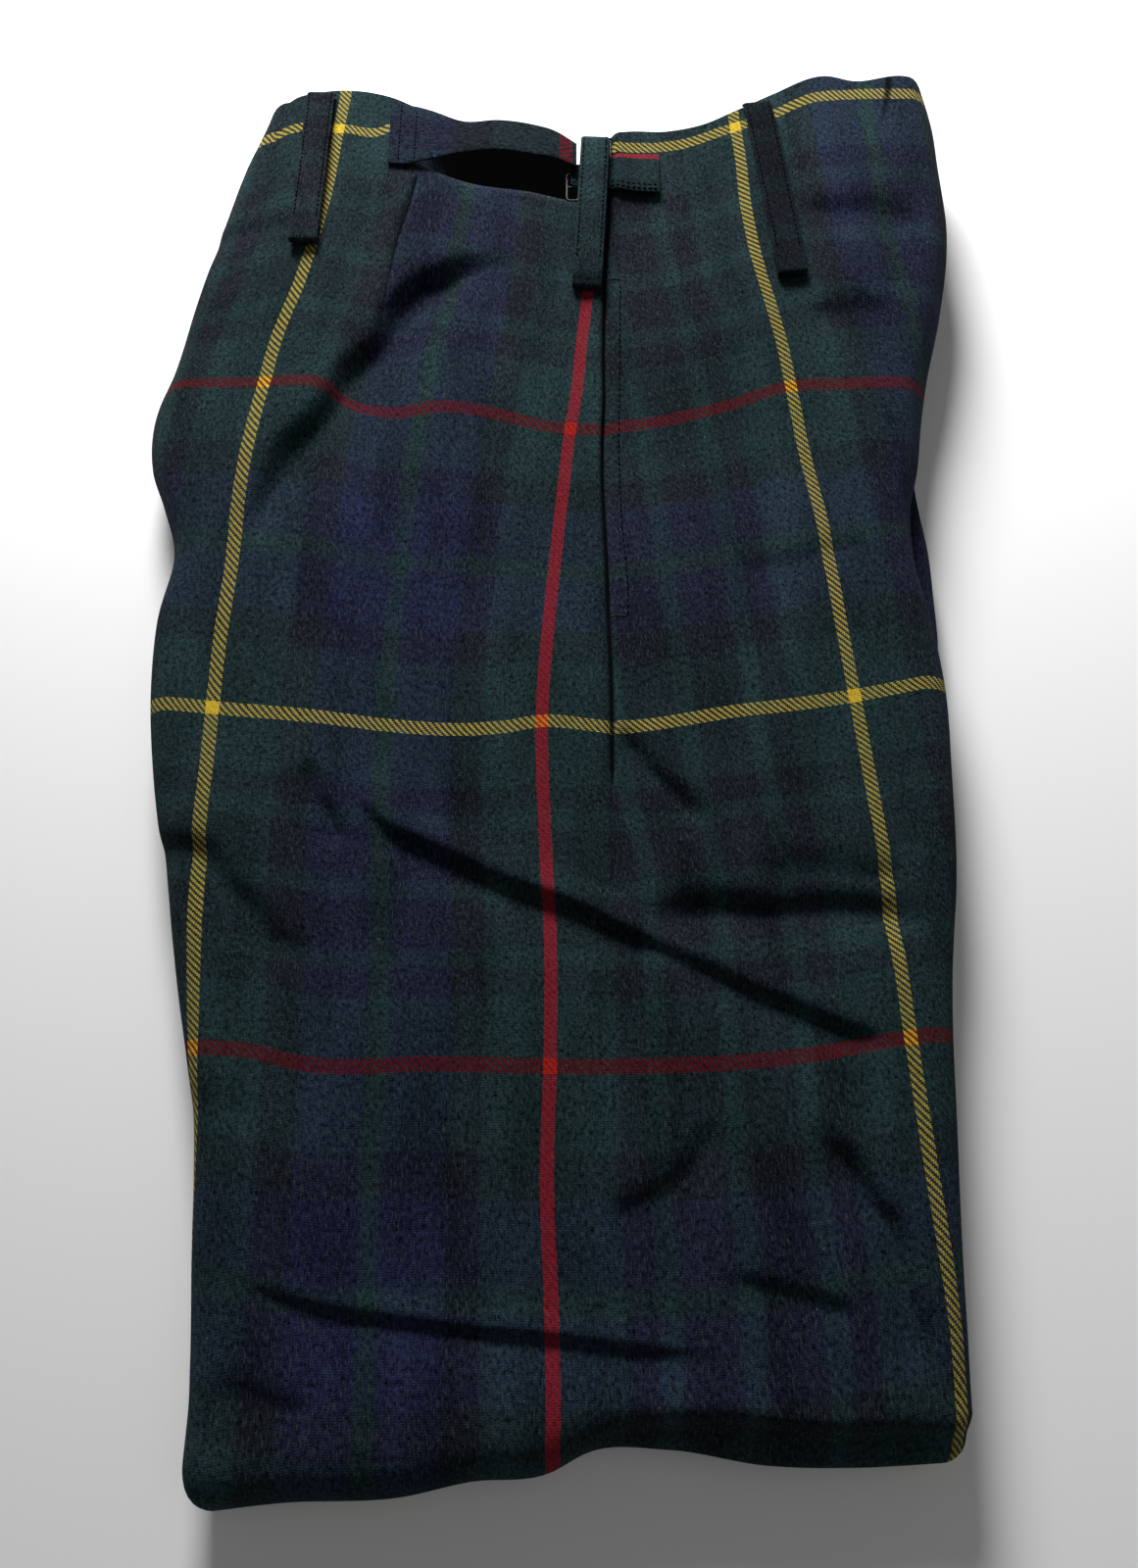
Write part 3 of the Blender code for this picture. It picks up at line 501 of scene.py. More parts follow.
def weft_threads(x, y, front):
    """Place along the repeat of a point on the back or the front panel."""
    waist = line(WEFT_WAIST_FRONT if front else WEFT_WAIST_BACK, x)
    red = line(WEFT_RED_FRONT if front else WEFT_RED_BACK, x)
    yellow = line(WEFT_YELLOW_FRONT if front else WEFT_YELLOW_BACK, x)
    low = line(WEFT_LOW, x)
    above = MIDDLE_LINE + (REPEAT - MIDDLE_LINE) * (y - red) / (waist - red)
    between = MIDDLE_LINE * (y - yellow) / (red - yellow)
    below = (REPEAT - MIDDLE_LINE) * (y - yellow) / (yellow - low)
    threads = np.where(y > red, above, between)
    threads = np.where(y < yellow, below, threads)
    return np.where(y < low, MIDDLE_LINE - REPEAT + (y - low) / LOW_PITCH, threads)


def cloth_threads(grid, column, last_upper, front):
    """Warp and weft places of every point of a panel's grid."""
    upper = grid[: last_upper + 1]
    flat = np.flatnonzero((column >= 0) & (column <= 1))
    x = upper[:, flat, 0]
    y = upper[:, flat, 1]
    warp = np.zeros(grid.shape[:2])
    weft = np.zeros(grid.shape[:2])
    warp[: last_upper + 1, flat] = warp_threads(x, y, front)
    weft[: last_upper + 1, flat] = weft_threads(x, y, front)
    across = arc_lengths(upper, 1)
    for fold, edge in ((column < 0, flat[0]), (column > 1, flat[-1])):
        walked = across[:, fold] - across[:, edge, None]
        warp[: last_upper + 1, fold] = warp[: last_upper + 1, edge, None] + walked / PITCH
        weft[: last_upper + 1, fold] = weft[: last_upper + 1, edge, None]
    walked = arc_lengths(grid[last_upper:], 0)[1:]
    warp[last_upper + 1 :] = warp[last_upper]
    weft[last_upper + 1 :] = weft[last_upper] - walked / LOW_PITCH
    return np.stack((warp, weft), axis=-1)


def mesh_object(name, points, faces, places, materials, indices=None, seam=None):
    """A smooth mesh from points in millimetres, with places in the weave and from seams, for painted seam
    shade, as UVs.
    """
    mesh = bpy.data.meshes.new(name)
    mesh.from_pydata((points - MIDDLE) * MM, [], faces)
    layer = mesh.uv_layers.new(name="Threads")
    corners = np.zeros(len(mesh.loops), dtype=np.int32)
    mesh.loops.foreach_get("vertex_index", corners)
    layer.data.foreach_set("uv", places[corners].astype(np.float32).ravel())
    from_seam = np.full((len(points), 2), FAR_FROM_SEAMS) if seam is None else seam
    layer = mesh.uv_layers.new(name="Seams")
    layer.data.foreach_set("uv", from_seam[corners].astype(np.float32).ravel())
    for material in materials:
        mesh.materials.append(material)
    if indices is not None:
        mesh.polygons.foreach_set("material_index", np.asarray(indices, dtype=np.int32))
    mesh.polygons.foreach_set("use_smooth", np.ones(len(mesh.polygons), dtype=bool))
    mesh.set_sharp_from_angle(angle=math.radians(50.0))
    mesh.update()
    obj = bpy.data.objects.new(name, mesh)
    bpy.context.scene.collection.objects.link(obj)
    return obj


def grid_faces(rows, columns, start=0, flip=False):
    index = start + np.arange(rows * columns).reshape(rows, columns)
    corners = (index[:-1, :-1], index[1:, :-1], index[1:, 1:], index[:-1, 1:])
    faces = np.stack(corners, axis=-1).reshape(-1, 4)
    return faces[:, ::-1] if flip else faces


def ring_faces(rings, count, start=0, flip=False, closed=False):
    """Faces round a tube of rings, which is joined into a hoop or capped at both ends."""
    index = start + np.arange(rings * count).reshape(rings, count)
    if closed:
        index = np.vstack((index, index[:1]))
    after = np.roll(index, -1, axis=1)
    corners = (index[:-1], after[:-1], after[1:], index[1:])
    ends = [] if closed else [index[0][::-1].tolist(), index[-1].tolist()]
    if flip:
        corners = (index[:-1], index[1:], after[1:], after[:-1])
        ends = [end[::-1] for end in ends]
    return np.stack(corners, axis=-1).reshape(-1, 4).tolist() + ends


def border(rows, columns):
    """Places of the points round the edge of a grid, in order."""
    index = np.arange(rows * columns).reshape(rows, columns)
    return np.concatenate((index[0, :-1], index[:-1, -1], index[-1, :0:-1], index[:0:-1, 0]))


def wall(name, outer, inner, places, materials, lining_rows=0, seam=None):
    """A closed wall of cloth between two grids, with an edge strip all round, rounded out only along the
    first row.
    """
    rows, columns = outer.shape[:2]
    count = rows * columns
    edge = border(rows, columns)
    flat_outer = outer.reshape(-1, 3)
    flat_inner = inner.reshape(-1, 3)
    along = np.roll(flat_outer[edge], -1, axis=0) - np.roll(flat_outer[edge], 1, axis=0)
    outward = np.cross(flat_outer[edge] - flat_inner[edge], along)
    outward /= np.maximum(np.linalg.norm(outward, axis=1, keepdims=True), 1e-9)
    rounded = ((edge < columns) * RIM)[:, None]
    rim = (flat_outer[edge] + flat_inner[edge]) / 2 + outward * rounded
    points = np.concatenate((flat_outer, flat_inner, rim))
    flat_places = places.reshape(-1, 2)
    all_places = np.concatenate((flat_places, flat_places, flat_places[edge]))
    around = np.arange(len(edge))
    after = np.roll(around, -1)
    middle = 2 * count
    upper = np.stack((edge[around], edge[after], middle + after, middle + around), axis=1)
    lower = np.stack((middle + around, middle + after, count + edge[after], count + edge[around]), axis=1)
    outer_faces = grid_faces(rows, columns)
    inner_faces = grid_faces(rows, columns, count, flip=True)
    faces = np.concatenate((outer_faces, inner_faces, upper, lower))
    indices = np.zeros(len(faces), dtype=np.int32)
    if lining_rows:
        row = np.repeat(np.arange(rows - 1), columns - 1)
        indices[len(outer_faces) : len(outer_faces) + len(inner_faces)] = row < lining_rows
    if seam is not None:
        flat_seam = seam.reshape(-1, 2)
        seam = np.concatenate((flat_seam, flat_seam, flat_seam[edge]))
    return mesh_object(name, points, faces.tolist(), all_places, materials, indices, seam)


def back_columns():
    """Columns across the back panel, closer together at the dart and beside the seam."""
    side = np.linspace(-1, 0, 10)
    plain = np.linspace(0, 0.2075, 43)[1:]
    dart = np.linspace(0.2075, 0.2375, 16)[1:]
    towards_seam = np.linspace(0.2375, 0.484, 50)[1:]
    return np.concatenate((side, plain, dart, towards_seam, 0.5 - NEAR_SEAM, [0.5]))


def front_columns():
    """Columns across the front panel, closer together beside the seam."""
    plain = np.linspace(0.516, 1, 100)
    side = np.linspace(1, 2, 10)[1:]
    return np.concatenate(([0.5], 0.5 + NEAR_SEAM[::-1], plain, side))


def seam_shade_distances(grid):
    """Distance of every point from the side seam, the dart and the fly, growing where each one ends; the wool
    paints shade by it.
    """
    x, y, z = grid[:, :, 0], grid[:, :, 1], grid[:, :, 2]
    ended = np.maximum(SEAM_END - y, 0.0) * 0.12
    seam = np.abs(x - section("seam", y)) + np.where(z > FOLD_RADIUS, ended, FAR_FROM_SEAMS)
    side, share = distance_to_line(x, y, DART)
    dart = np.abs(side) + share**2
    side, share = distance_to_line(x, y, FLY)
    fly = 0.45 * np.abs(side) + 1.3 * share**2
    below = np.where(z > FOLD_RADIUS, 0.0, FAR_FROM_SEAMS)
    return np.stack((seam, np.minimum(dart, fly) + below), axis=-1)


def panel(name, column, seam_end, front, materials):
    shares = np.concatenate((np.linspace(0, 0.06, 20), np.linspace(0.06, 1, 301)[1:]))
    grid = leg_grid(column, shares, FOLD_STEPS, LOWER_ROWS)
    places = cloth_threads(grid, column, len(shares) - 1, front)
    normals = normals_of(grid)
    inner = grid - normals * CLOTH
    neighbour = 1 if seam_end == 0 else -2
    for layer in (grid, inner):
        away = layer[:, neighbour] - layer[:, seam_end]
        layer[:, seam_end] += away / np.linalg.norm(away, axis=1, keepdims=True) * SEAM_GAP / 2
    lining_rows = int(np.searchsorted(shares, LINING_DEPTH / UPPER_LENGTH))
    return wall(name, grid, inner, places, materials, lining_rows, seam_shade_distances(grid)), grid


def lower_edge(end, side, x_outer, low, groove, layered, points):
    """Points down the edge of the layers below the near leg, with a gap between the two of them."""
    joined = min(max(1.0 - groove / DEEPEST_GROOVE, 0.0), 1.0)
    end_x, y, end_z = end
    high = end_z - EDGE_GAP - 0.6 * (1 - joined)
    width = 9.0 + 3.0 * joined
    centre = joined * high + (1 - joined) * (high + low) / 2
    first = max(math.acos(min((high - centre) / (centre - low), 1.0)), math.radians(25.0))
    angle = np.linspace(first, math.pi, points)
    share = (angle - first) / (math.pi - first)
    gap = 5.0 * layered * np.exp(-(((share - 0.52) / 0.085) ** 2)) - 0.6 * layered
    wander = 0.8 * math.sin(y / 21.0 + side) + 0.5 * math.sin(y / 9.0)
    x = x_outer - side * (width * (1 - np.sin(angle)) + np.maximum(gap, 0.0) - wander * np.sin(angle))
    z = centre + (centre - low) * np.cos(angle)
    start = (end_x - side * (CLOTH + 0.4 + groove), y, end_z - EDGE_GAP)
    return np.vstack((start, np.stack(np.broadcast_arrays(x, y, z), axis=1)))


def stack_ring(top, bottom, top_outer, bottom_outer, inset, points):
    """A ring through the hidden layers: upper face, front edge, underside, back edge."""
    edges = []
    for side, index in ((1.0, -1), (-1.0, 0)):
        end = top_outer[index]
        x_outer = section("far_right", end[1]) if side > 0 else section("left", end[1]) + 1.0
        x_outer -= side * inset
        low = bottom[index][2]
        if low > 0:
            low = max(low, bottom_outer[index][2] + 0.9)
        layered = float(smooth_step((HEM_Y - end[1]) / 40.0))
        edge = lower_edge(end, side, x_outer, low, section("groove", end[1]), layered, points)
        share = np.linspace(0.0, 1.0, len(edge))
        edge[:, 1] += (bottom[index][1] - edge[:, 1]) * share
        edges.append(edge)
    return np.concatenate((top, edges[0], bottom[::-1], edges[1][::-1]))


def far_waist(column, share):
    """The far half's waist across the columns, from the recess, share 0, to its edge, share 1."""
    angle = fold_angle(column, math.pi / 2)
    side = np.where(column < 0.5, -1.0, 1.0)
    start = upper_cloth(column, np.full(column.shape, WAIST_RECESS / UPPER_LENGTH))[:, 1]
    x = across_leg(column, start, section("left", start), section("right", start), section("fold_w", start))
    for _ in range(3):
        y = start + (line(FAR_WAIST, x) - start) * share
        fold_w = section("fold_w", y)
        x = across_leg(column, y, section("left", y), section("right", y), fold_w)
    turn = np.radians(section("turn", y))
    seam_z = section("top", y) - section("fall", y) - section("fold_h", y) * (1 - np.cos(turn)) - EDGE_GAP
    ledge = LEDGE * (1 - 0.3 * np.sin(angle))
    lift = FAR_WAIST_LIFT * share**2 * smooth_step((x + 90) / 40) * smooth_step((6 - x) / 24)
    inner_x = x + side * (fold_w - ledge * (angle > 0)) * np.sin(angle)
    inner = np.stack((inner_x, y, LEDGE + lift + (seam_z - LEDGE) * (1 - np.cos(angle))), axis=1)
    under = np.stack((x + side * 0.1 * fold_w * np.sin(angle), y, lift), axis=1)
    return inner, under, seam_z


def waist_ring(column, share, points):
    inner, under, seam_z = far_waist(column, share)
    edges = []
    for side, index in ((1.0, -1), (-1.0, 0)):
        x_end, y, _ = inner[index]
        x_outer = section("far_right", y) if side > 0 else section("left", y) + 1.0
        angle = np.linspace(math.pi / 2, math.pi, points)
        x = x_outer - side * 12.0 * (1 - np.sin(angle))
        z = seam_z[index] * (1 + np.cos(angle))
        start = (x_end + side * 0.8, y, seam_z[index])
        edges.append(np.vstack((start, np.stack(np.broadcast_arrays(x, y, z), axis=1))))
    return np.concatenate((inner, edges[0], under[::-1], edges[1][::-1]))


def far_layers(material, lining):
    """The far leg, the seat and the inner layers of the lower legs, layered at the edges."""
    column = np.concatenate((np.linspace(-1, 0, 7), np.linspace(0, 1, 33)[1:], np.linspace(1, 2, 7)[1:]))
    width = len(column)
    bulge = 22
    steps = 10
    recess = WAIST_RECESS / UPPER_LENGTH
    shares = np.concatenate((np.linspace(0, recess, 3), np.linspace(recess, 1, 150)[1:]))
    grid = leg_grid(column, shares, steps, 40)
    inner = grid - normals_of(grid) * (CLOTH + GAP + 0.1)
    below = UNDER_CREASES * smooth_step(np.minimum(column, 1.0 - column) / 0.05)
    inner[: len(shares), :, 2] -= below * (grid[: len(shares), :, 2] > FOLD_RADIUS)
    last = len(shares) - 1
    rings = []
    for step in (3, 2, 1, 0):
        top = last + step
        bottom = last + steps - step
        rings.append(stack_ring(inner[top], inner[bottom], grid[top], grid[bottom], 1.3 * step, bulge))
    for row in range(last - 1, 1, -1):
        y = inner[row][:, 1]
        outer = lower_leg(column, y)
        under = lower_leg(column, y, CLOTH + GAP + 0.1)
        if y.mean() > HEM_Y:
            under[:, 2] = 0.0
        rings.append(stack_ring(inner[row], under, grid[row], outer, 0.0, bulge))
    stacked = len(rings)
    for share in (0.05, 0.15, 0.3, 0.45, 0.6, 0.75, 0.9, 0.97, 1.0):
        rings.append(waist_ring(column, share, bulge))
    rings = np.array(rings)
    count = rings.shape[1]
    faces = ring_faces(len(rings), count)
    warp = np.zeros(rings.shape[:2])
    warp[:, :width] = warp_threads(rings[:, :width, 0], rings[:, :width, 1], True)
    walked = arc_lengths(rings, 1)
    front = slice(width, width + bulge + 1)
    warp[:, front] = warp[:, width - 1, None] + (walked[:, front] - walked[:, width - 1, None]) / PITCH
    under = slice(width + bulge + 1, 2 * width + bulge + 1)
    warp[:, under] = -rings[:, under, 0] / PITCH
    start = warp_threads(rings[:, 0, 0], rings[:, 0, 1], False)[:, None]
    back = slice(2 * width + bulge + 1, count)
    warp[:, back] = start - (walked[:, -1, None] - walked[:, back]) / PITCH
    weft = weft_threads(rings[:, :, 0], np.maximum(rings[:, :, 1], -300.0), False)
    places = np.stack((warp, weft), axis=-1).reshape(-1, 2)
    inside = np.zeros((len(rings) - 1, count), dtype=np.int32)
    inside[stacked - 1 :, : width + 1] = 1
    inside[stacked - 1 :, -1] = 1
    indices = inside.ravel().tolist() + [0, 0]
    return mesh_object("far_layers", rings.reshape(-1, 3), faces, places, [material, lining], indices)


def facing(material):
    """Black facing on the inside of the far half's waist."""
    column = np.linspace(-0.8, 1.8, 90)
    rows = [far_waist(column, share)[0] for share in np.linspace(1.0, 0.145, 14)]
    grid = np.array(rows)
    normals = normals_of(grid)
    under = grid + normals * (GAP + 0.1)
    places = grid[:, :, :2] / PITCH
    return wall("facing_cloth", under + normals * FACING, under, places, [material])


def tree_of(grids):
    points = []
    faces = []
    for grid in grids:
        rows, columns = grid.shape[:2]
        faces += grid_faces(rows, columns, len(points)).tolist()
        points += grid.reshape(-1, 3).tolist()
    return BVHTree.FromPolygons([Vector(point) for point in points], faces)


def height_on(tree, x, y):
    hit = tree.ray_cast(Vector((x, y, 200.0)), Vector((0, 0, -1)))
    return hit[0].z if hit[0] else 0.0


def flat_tube(name, centres, acrosses, ups, width, thickness, places_at, material, pitch=PITCH, steps=14):
    """A flat band with rounded edges along a path; width may change along it."""
    angle = np.linspace(0, 2 * math.pi, 2 * steps, endpoint=False)
    reach = np.sign(np.cos(angle)) * np.abs(np.cos(angle)) ** 0.35
    rise = np.sign(np.sin(angle)) * np.abs(np.sin(angle)) ** 0.75
    rings = []
    places = []
    walked = 0.0
    for i, (centre, across, up) in enumerate(zip(centres, acrosses, ups)):
        if i:
            walked += np.linalg.norm(centre - centres[i - 1])
        half = width[i] / 2
        rings.append(centre + np.outer(reach * half, across) + np.outer(rise * thickness / 2, up))
        along = np.full(len(angle), places_at[1] + walked / pitch)
        places.append(np.stack((places_at[0] + reach * half / PITCH, along), axis=1))
    faces = ring_faces(len(rings), len(angle), flip=True)
    return mesh_object(name, np.concatenate(rings), faces, np.concatenate(places), [material])


def belt_loop(row, tree, material):
    """A loop of doubled cloth, turned under at its lower end."""
    loop = dict(zip(LOOP_COLUMNS, row))
    points = np.array(loop["line"], float)
    length = np.hypot(*np.diff(points, axis=0).T).sum()
    turn = 1.0 - 1.3 / length
    back = 1.0 - LOOP_TURN_UNDER / length
    profile = [(share, LOOP_LIFT + loop["rise"] * lift) for share, lift in LOOP_PROFILE]
    profile += [(turn, LOOP_LIFT + 2.7), (1.0, LOOP_LIFT + 1.35), (turn, LOOP_LIFT), (back, LOOP_LIFT)]
    profile = np.array(profile)
    keys = np.linspace(0, 1, len(points))
    direction = (points[-1] - points[0]) / np.hypot(*(points[-1] - points[0]))
    across = np.array((-direction[1], direction[0], 0.0))
    centres = []
    for i, (share, lift) in enumerate(profile):
        x = np.interp(share, keys, points[:, 0])
        y = np.interp(share, keys, points[:, 1])
        places = [(x + across[0] * k, y + across[1] * k) for k in np.linspace(-7.5, 7.5, 7)]
        centres.append((x, y, max(height_on(tree, *place) for place in places) + lift))
    centres = smooth_path(np.array(centres), PATH_STEPS)
    along = np.gradient(centres, axis=0)
    ups = np.cross(along, across)
    ups = ups / np.linalg.norm(ups, axis=1, keepdims=True)
    acrosses = np.repeat(across[None], len(centres), axis=0)
    width = np.full(len(centres), LOOP_WIDTH)
    name = loop["name"] + "_cloth"
    obj = flat_tube(name, centres, acrosses, ups, width, LOOP_THICKNESS, loop["threads"], material)
    return obj, centres, across


def smooth_path(points, steps):
    """A smooth path through points, with some steps between each two."""
    slopes = np.gradient(points, axis=0)
    path = []
    for i in range(len(points) - 1):
        for t in np.linspace(0, 1, steps, endpoint=False):
            path.append(curve(t, points[i], points[i + 1], slopes[i], slopes[i + 1]))
    path.append(points[-1])
    return np.array(path)


def band(name, table, columns, lowest, thickness, tree, threads, pitch, material):
    """A flat band that runs along X between two edges, resting on the cloth or above it."""
    centres = []
    width = []
    for x in np.linspace(table[0][0], table[-1][0], 60):
        low = float(read(table, columns, "low", x))
        high = float(read(table, columns, "high", x))
        rest = max(height_on(tree, x, y) for y in np.linspace(low, high, 6))
        z = max(rest + GAP + 0.15 + thickness / 2, float(lowest(x)))
        centres.append((x, (low + high) / 2, z))
        width.append(high - low)
    centres = np.array(centres)
    centres[:, 2] = np.convolve(np.pad(centres[:, 2], 2, mode="edge"), np.ones(5) / 5, mode="valid")
    acrosses = np.repeat(np.array(((0.0, -1.0, 0.0),)), len(centres), axis=0)
    ups = np.cross(np.gradient(centres, axis=0), acrosses)
    ups *= -1.0 / np.linalg.norm(ups, axis=1, keepdims=True)
    obj = flat_tube(name, centres, acrosses, ups, np.array(width), thickness, threads, material, pitch)
    return obj, centres, width


def wire_frame(name, corners, corner_radius, z, radius, material):
    """A slide buckle of round wire: a rounded rectangle with a bar across its middle."""
    (low_x, low_y), (high_x, high_y) = corners
    turned = np.linspace(0, math.pi / 2, 7)
    path = []
    for turn, (x, y) in enumerate(((high_x, high_y), (low_x, high_y), (low_x, low_y), (high_x, low_y))):
        inward = (np.sign((low_x + high_x) / 2 - x), np.sign((low_y + high_y) / 2 - y))
        centre = (x + inward[0] * corner_radius, y + inward[1] * corner_radius)
        for angle in turned + turn * math.pi / 2:
            x_round = centre[0] + corner_radius * math.cos(angle)
            path.append((x_round, centre[1] + corner_radius * math.sin(angle), z))
    middle = (low_y + high_y) / 2
    bar = [(low_x, middle, z), ((low_x + high_x) / 2, middle, z), (high_x, middle, z)]
    up = np.array((0.0, 0.0, 1.0))
    points = []
    faces = []
    for line_points, closed in ((np.array(path), True), (np.array(bar), False)):
        if closed:
            along = np.roll(line_points, -1, axis=0) - np.roll(line_points, 1, axis=0)
        else:
            along = np.gradient(line_points, axis=0)
        along /= np.linalg.norm(along, axis=1, keepdims=True)
        faces += ring_faces(len(line_points), WIRE_SIDES, len(points), closed=closed)
        for place, way in zip(line_points, along):
            side = np.cross(way, up)
            for angle in np.linspace(0, 2 * math.pi, WIRE_SIDES, endpoint=False):
                points.append(place + radius * (math.cos(angle) * side + math.sin(angle) * up))
    points = np.array(points)
    return mesh_object(name, points, faces, points[:, :2] / PITCH, [material])


def stitches(path, length, gap):
    """Both ends of each stitch along a path."""
    walked = np.concatenate(([0.0], np.cumsum(np.linalg.norm(np.diff(path, axis=0), axis=1))))
    for start in np.arange(0.3, walked[-1] - length, length + gap):
        ends = (start, start + length)
        yield [np.array([np.interp(place, walked, path[:, k]) for k in range(3)]) for place in ends]


def stitch_lines(name, paths, sizes, material):
    """Rows of small stitches along some paths."""
    length, gap, radius = sizes
    points = []
    faces = []
    for a, b in (ends for path in paths for ends in stitches(path, length, gap)):
        along = (b - a) / np.linalg.norm(b - a)
        side = np.cross(along, (0.0, 0.0, 1.0))
        side /= np.linalg.norm(side)
        up = np.cross(side, along)
        faces += ring_faces(len(STITCH_PROFILE), STITCH_SIDES, len(points))
        for share, swell, rise in STITCH_PROFILE:
            for angle in np.linspace(0, 2 * math.pi, STITCH_SIDES, endpoint=False):
                offset = side * math.cos(angle) + up * math.sin(angle)
                points.append(a + (b - a) * share + offset * radius * swell + up * rise * radius)
    points = np.array(points)
    return mesh_object(name, points, faces, points[:, :2] / PITCH, [material])


def feed(tree, socket, given):
    """Give a socket a constant, or link it to the output of another node."""
    if isinstance(given, (int, float, tuple)):
        socket.default_value = given
    else:
        tree.links.new(given, socket)


def node(tree, kind, inputs=None, **values):
    made = tree.nodes.new(kind)
    for key, value in values.items():
        setattr(made, key, value)
    for socket, given in (inputs or {}).items():
        feed(tree, made.inputs[socket], given)
    return made


def math_node(tree, operation, first, second=None):
    made = node(tree, "ShaderNodeMath", operation=operation)
    for socket, given in zip(made.inputs, (first, second)):
        if given is not None:
            feed(tree, socket, given)
    return made.outputs[0]


def mix_colour(tree, factor, first, second, blend="MIX"):
    made = node(tree, "ShaderNodeMix", data_type="RGBA", blend_type=blend)
    for name, given in (("Factor", factor), ("A", first), ("B", second)):
        named = (s for s in made.inputs if s.name == name and s.enabled)
        feed(tree, next(s for s in named if name == "Factor" or s.type == "RGBA"), given)
    return next(s for s in made.outputs if s.type == "RGBA")


def map_range(tree, value, start, end, low, high, kind="LINEAR"):
    ends = {"From Min": start, "From Max": end, "To Min": low, "To Max": high, "Value": value}
    return node(tree, "ShaderNodeMapRange", ends, interpolation_type=kind).outputs[0]


def noise(tree, places, scale, detail, roughness):
    looks = {"Vector": places, "Scale": scale, "Detail": detail, "Roughness": roughness}
    return node(tree, "ShaderNodeTexNoise", looks)


def stretched_noise(tree, places, turn, scale, detail):
    """Noise drawn out along one direction of the cloth."""
    stretch = {"Rotation": (0.0, 0.0, turn), "Scale": (*scale, 1.0), "Vector": places}
    placed = node(tree, "ShaderNodeMapping", stretch)
    return noise(tree, placed.outputs[0], 1.0, detail, 0.6).outputs["Fac"]


def parts_of(tree, kind, whole):
    """Outputs of a node that takes a vector or a colour apart."""
    made = node(tree, kind)
    tree.links.new(whole, made.inputs[0])
    return made.outputs


def uv_places(tree, name):
    return node(tree, "ShaderNodeUVMap", uv_map=name).outputs["UV"]


def bump(tree, shader, height, strength, distance):
    made = node(tree, "ShaderNodeBump", {"Height": height, "Strength": strength, "Distance": distance})
    tree.links.new(made.outputs["Normal"], shader.inputs["Normal"])


def new_material(name, looks):
    """A material, its node tree and its shader, with constants on some of the shader's sockets."""
    material = bpy.data.materials.new(name)
    material.use_nodes = True
    shader = material.node_tree.nodes["Principled BSDF"]
    for socket, given in looks.items():
        shader.inputs[socket].default_value = given
    return material, material.node_tree, shader


def empty_ramp(tree, share):
    """A colour ramp along the repeat, with one stop left."""
    ramp = node(tree, "ShaderNodeValToRGB", {"Fac": share})
    elements = ramp.color_ramp.elements
    elements.remove(elements[1])
    return ramp, elements


def repeat_share(tree, place):
    """Place in the repeat, from 0 at the first edge of the yellow line to 1."""
    share = math_node(tree, "FLOORED_MODULO", math_node(tree, "ADD", place, 4.0), float(REPEAT))
    return math_node(tree, "DIVIDE", share, float(REPEAT))


def ground_colour(tree, share):
    """Colour of the dark ground thread at a place in the repeat, with soft edges of the stripes."""
    ramp, elements = empty_ramp(tree, share)
    stops = []
    walked = 0
    for colour, threads in STRIPES:
        ground = "green" if colour in SHOWING else colour
        if not stops or stops[-1][0] != ground:
            stops.append([ground, walked, walked])
        walked += threads
        stops[-1][2] = walked
    elements[0].color = (*THREADS[stops[0][0]], 1.0)
    for i, (colour, start, end) in enumerate(stops):
        if i:
            elements.new((start + SOFT_EDGE) / REPEAT).color = (*THREADS[colour], 1.0)
        if i < len(stops) - 1:
            elements.new((end - SOFT_EDGE) / REPEAT).color = (*THREADS[colour], 1.0)
    return ramp.outputs["Color"]


def bright_line(tree, share, way):
    """Colour of the bright lines, and how much shows where their thread passes under."""
    ramp, elements = empty_ramp(tree, share)
    ramp.color_ramp.interpolation = "CONSTANT"
    walked = 0
    for colour, threads in STRIPES:
        if colour in SHOWING:
            start = elements[0] if walked == 0 else elements.new(walked / REPEAT)
            shade = LINE_SHADE[colour][way]
            start.color = (*(shade * part for part in THREADS[colour]), SHOWING[colour][way])
            elements.new((walked + threads) / REPEAT).color = (0.0, 0.0, 0.0, 0.0)
        walked += threads
    return ramp.outputs["Color"], ramp.outputs["Alpha"]


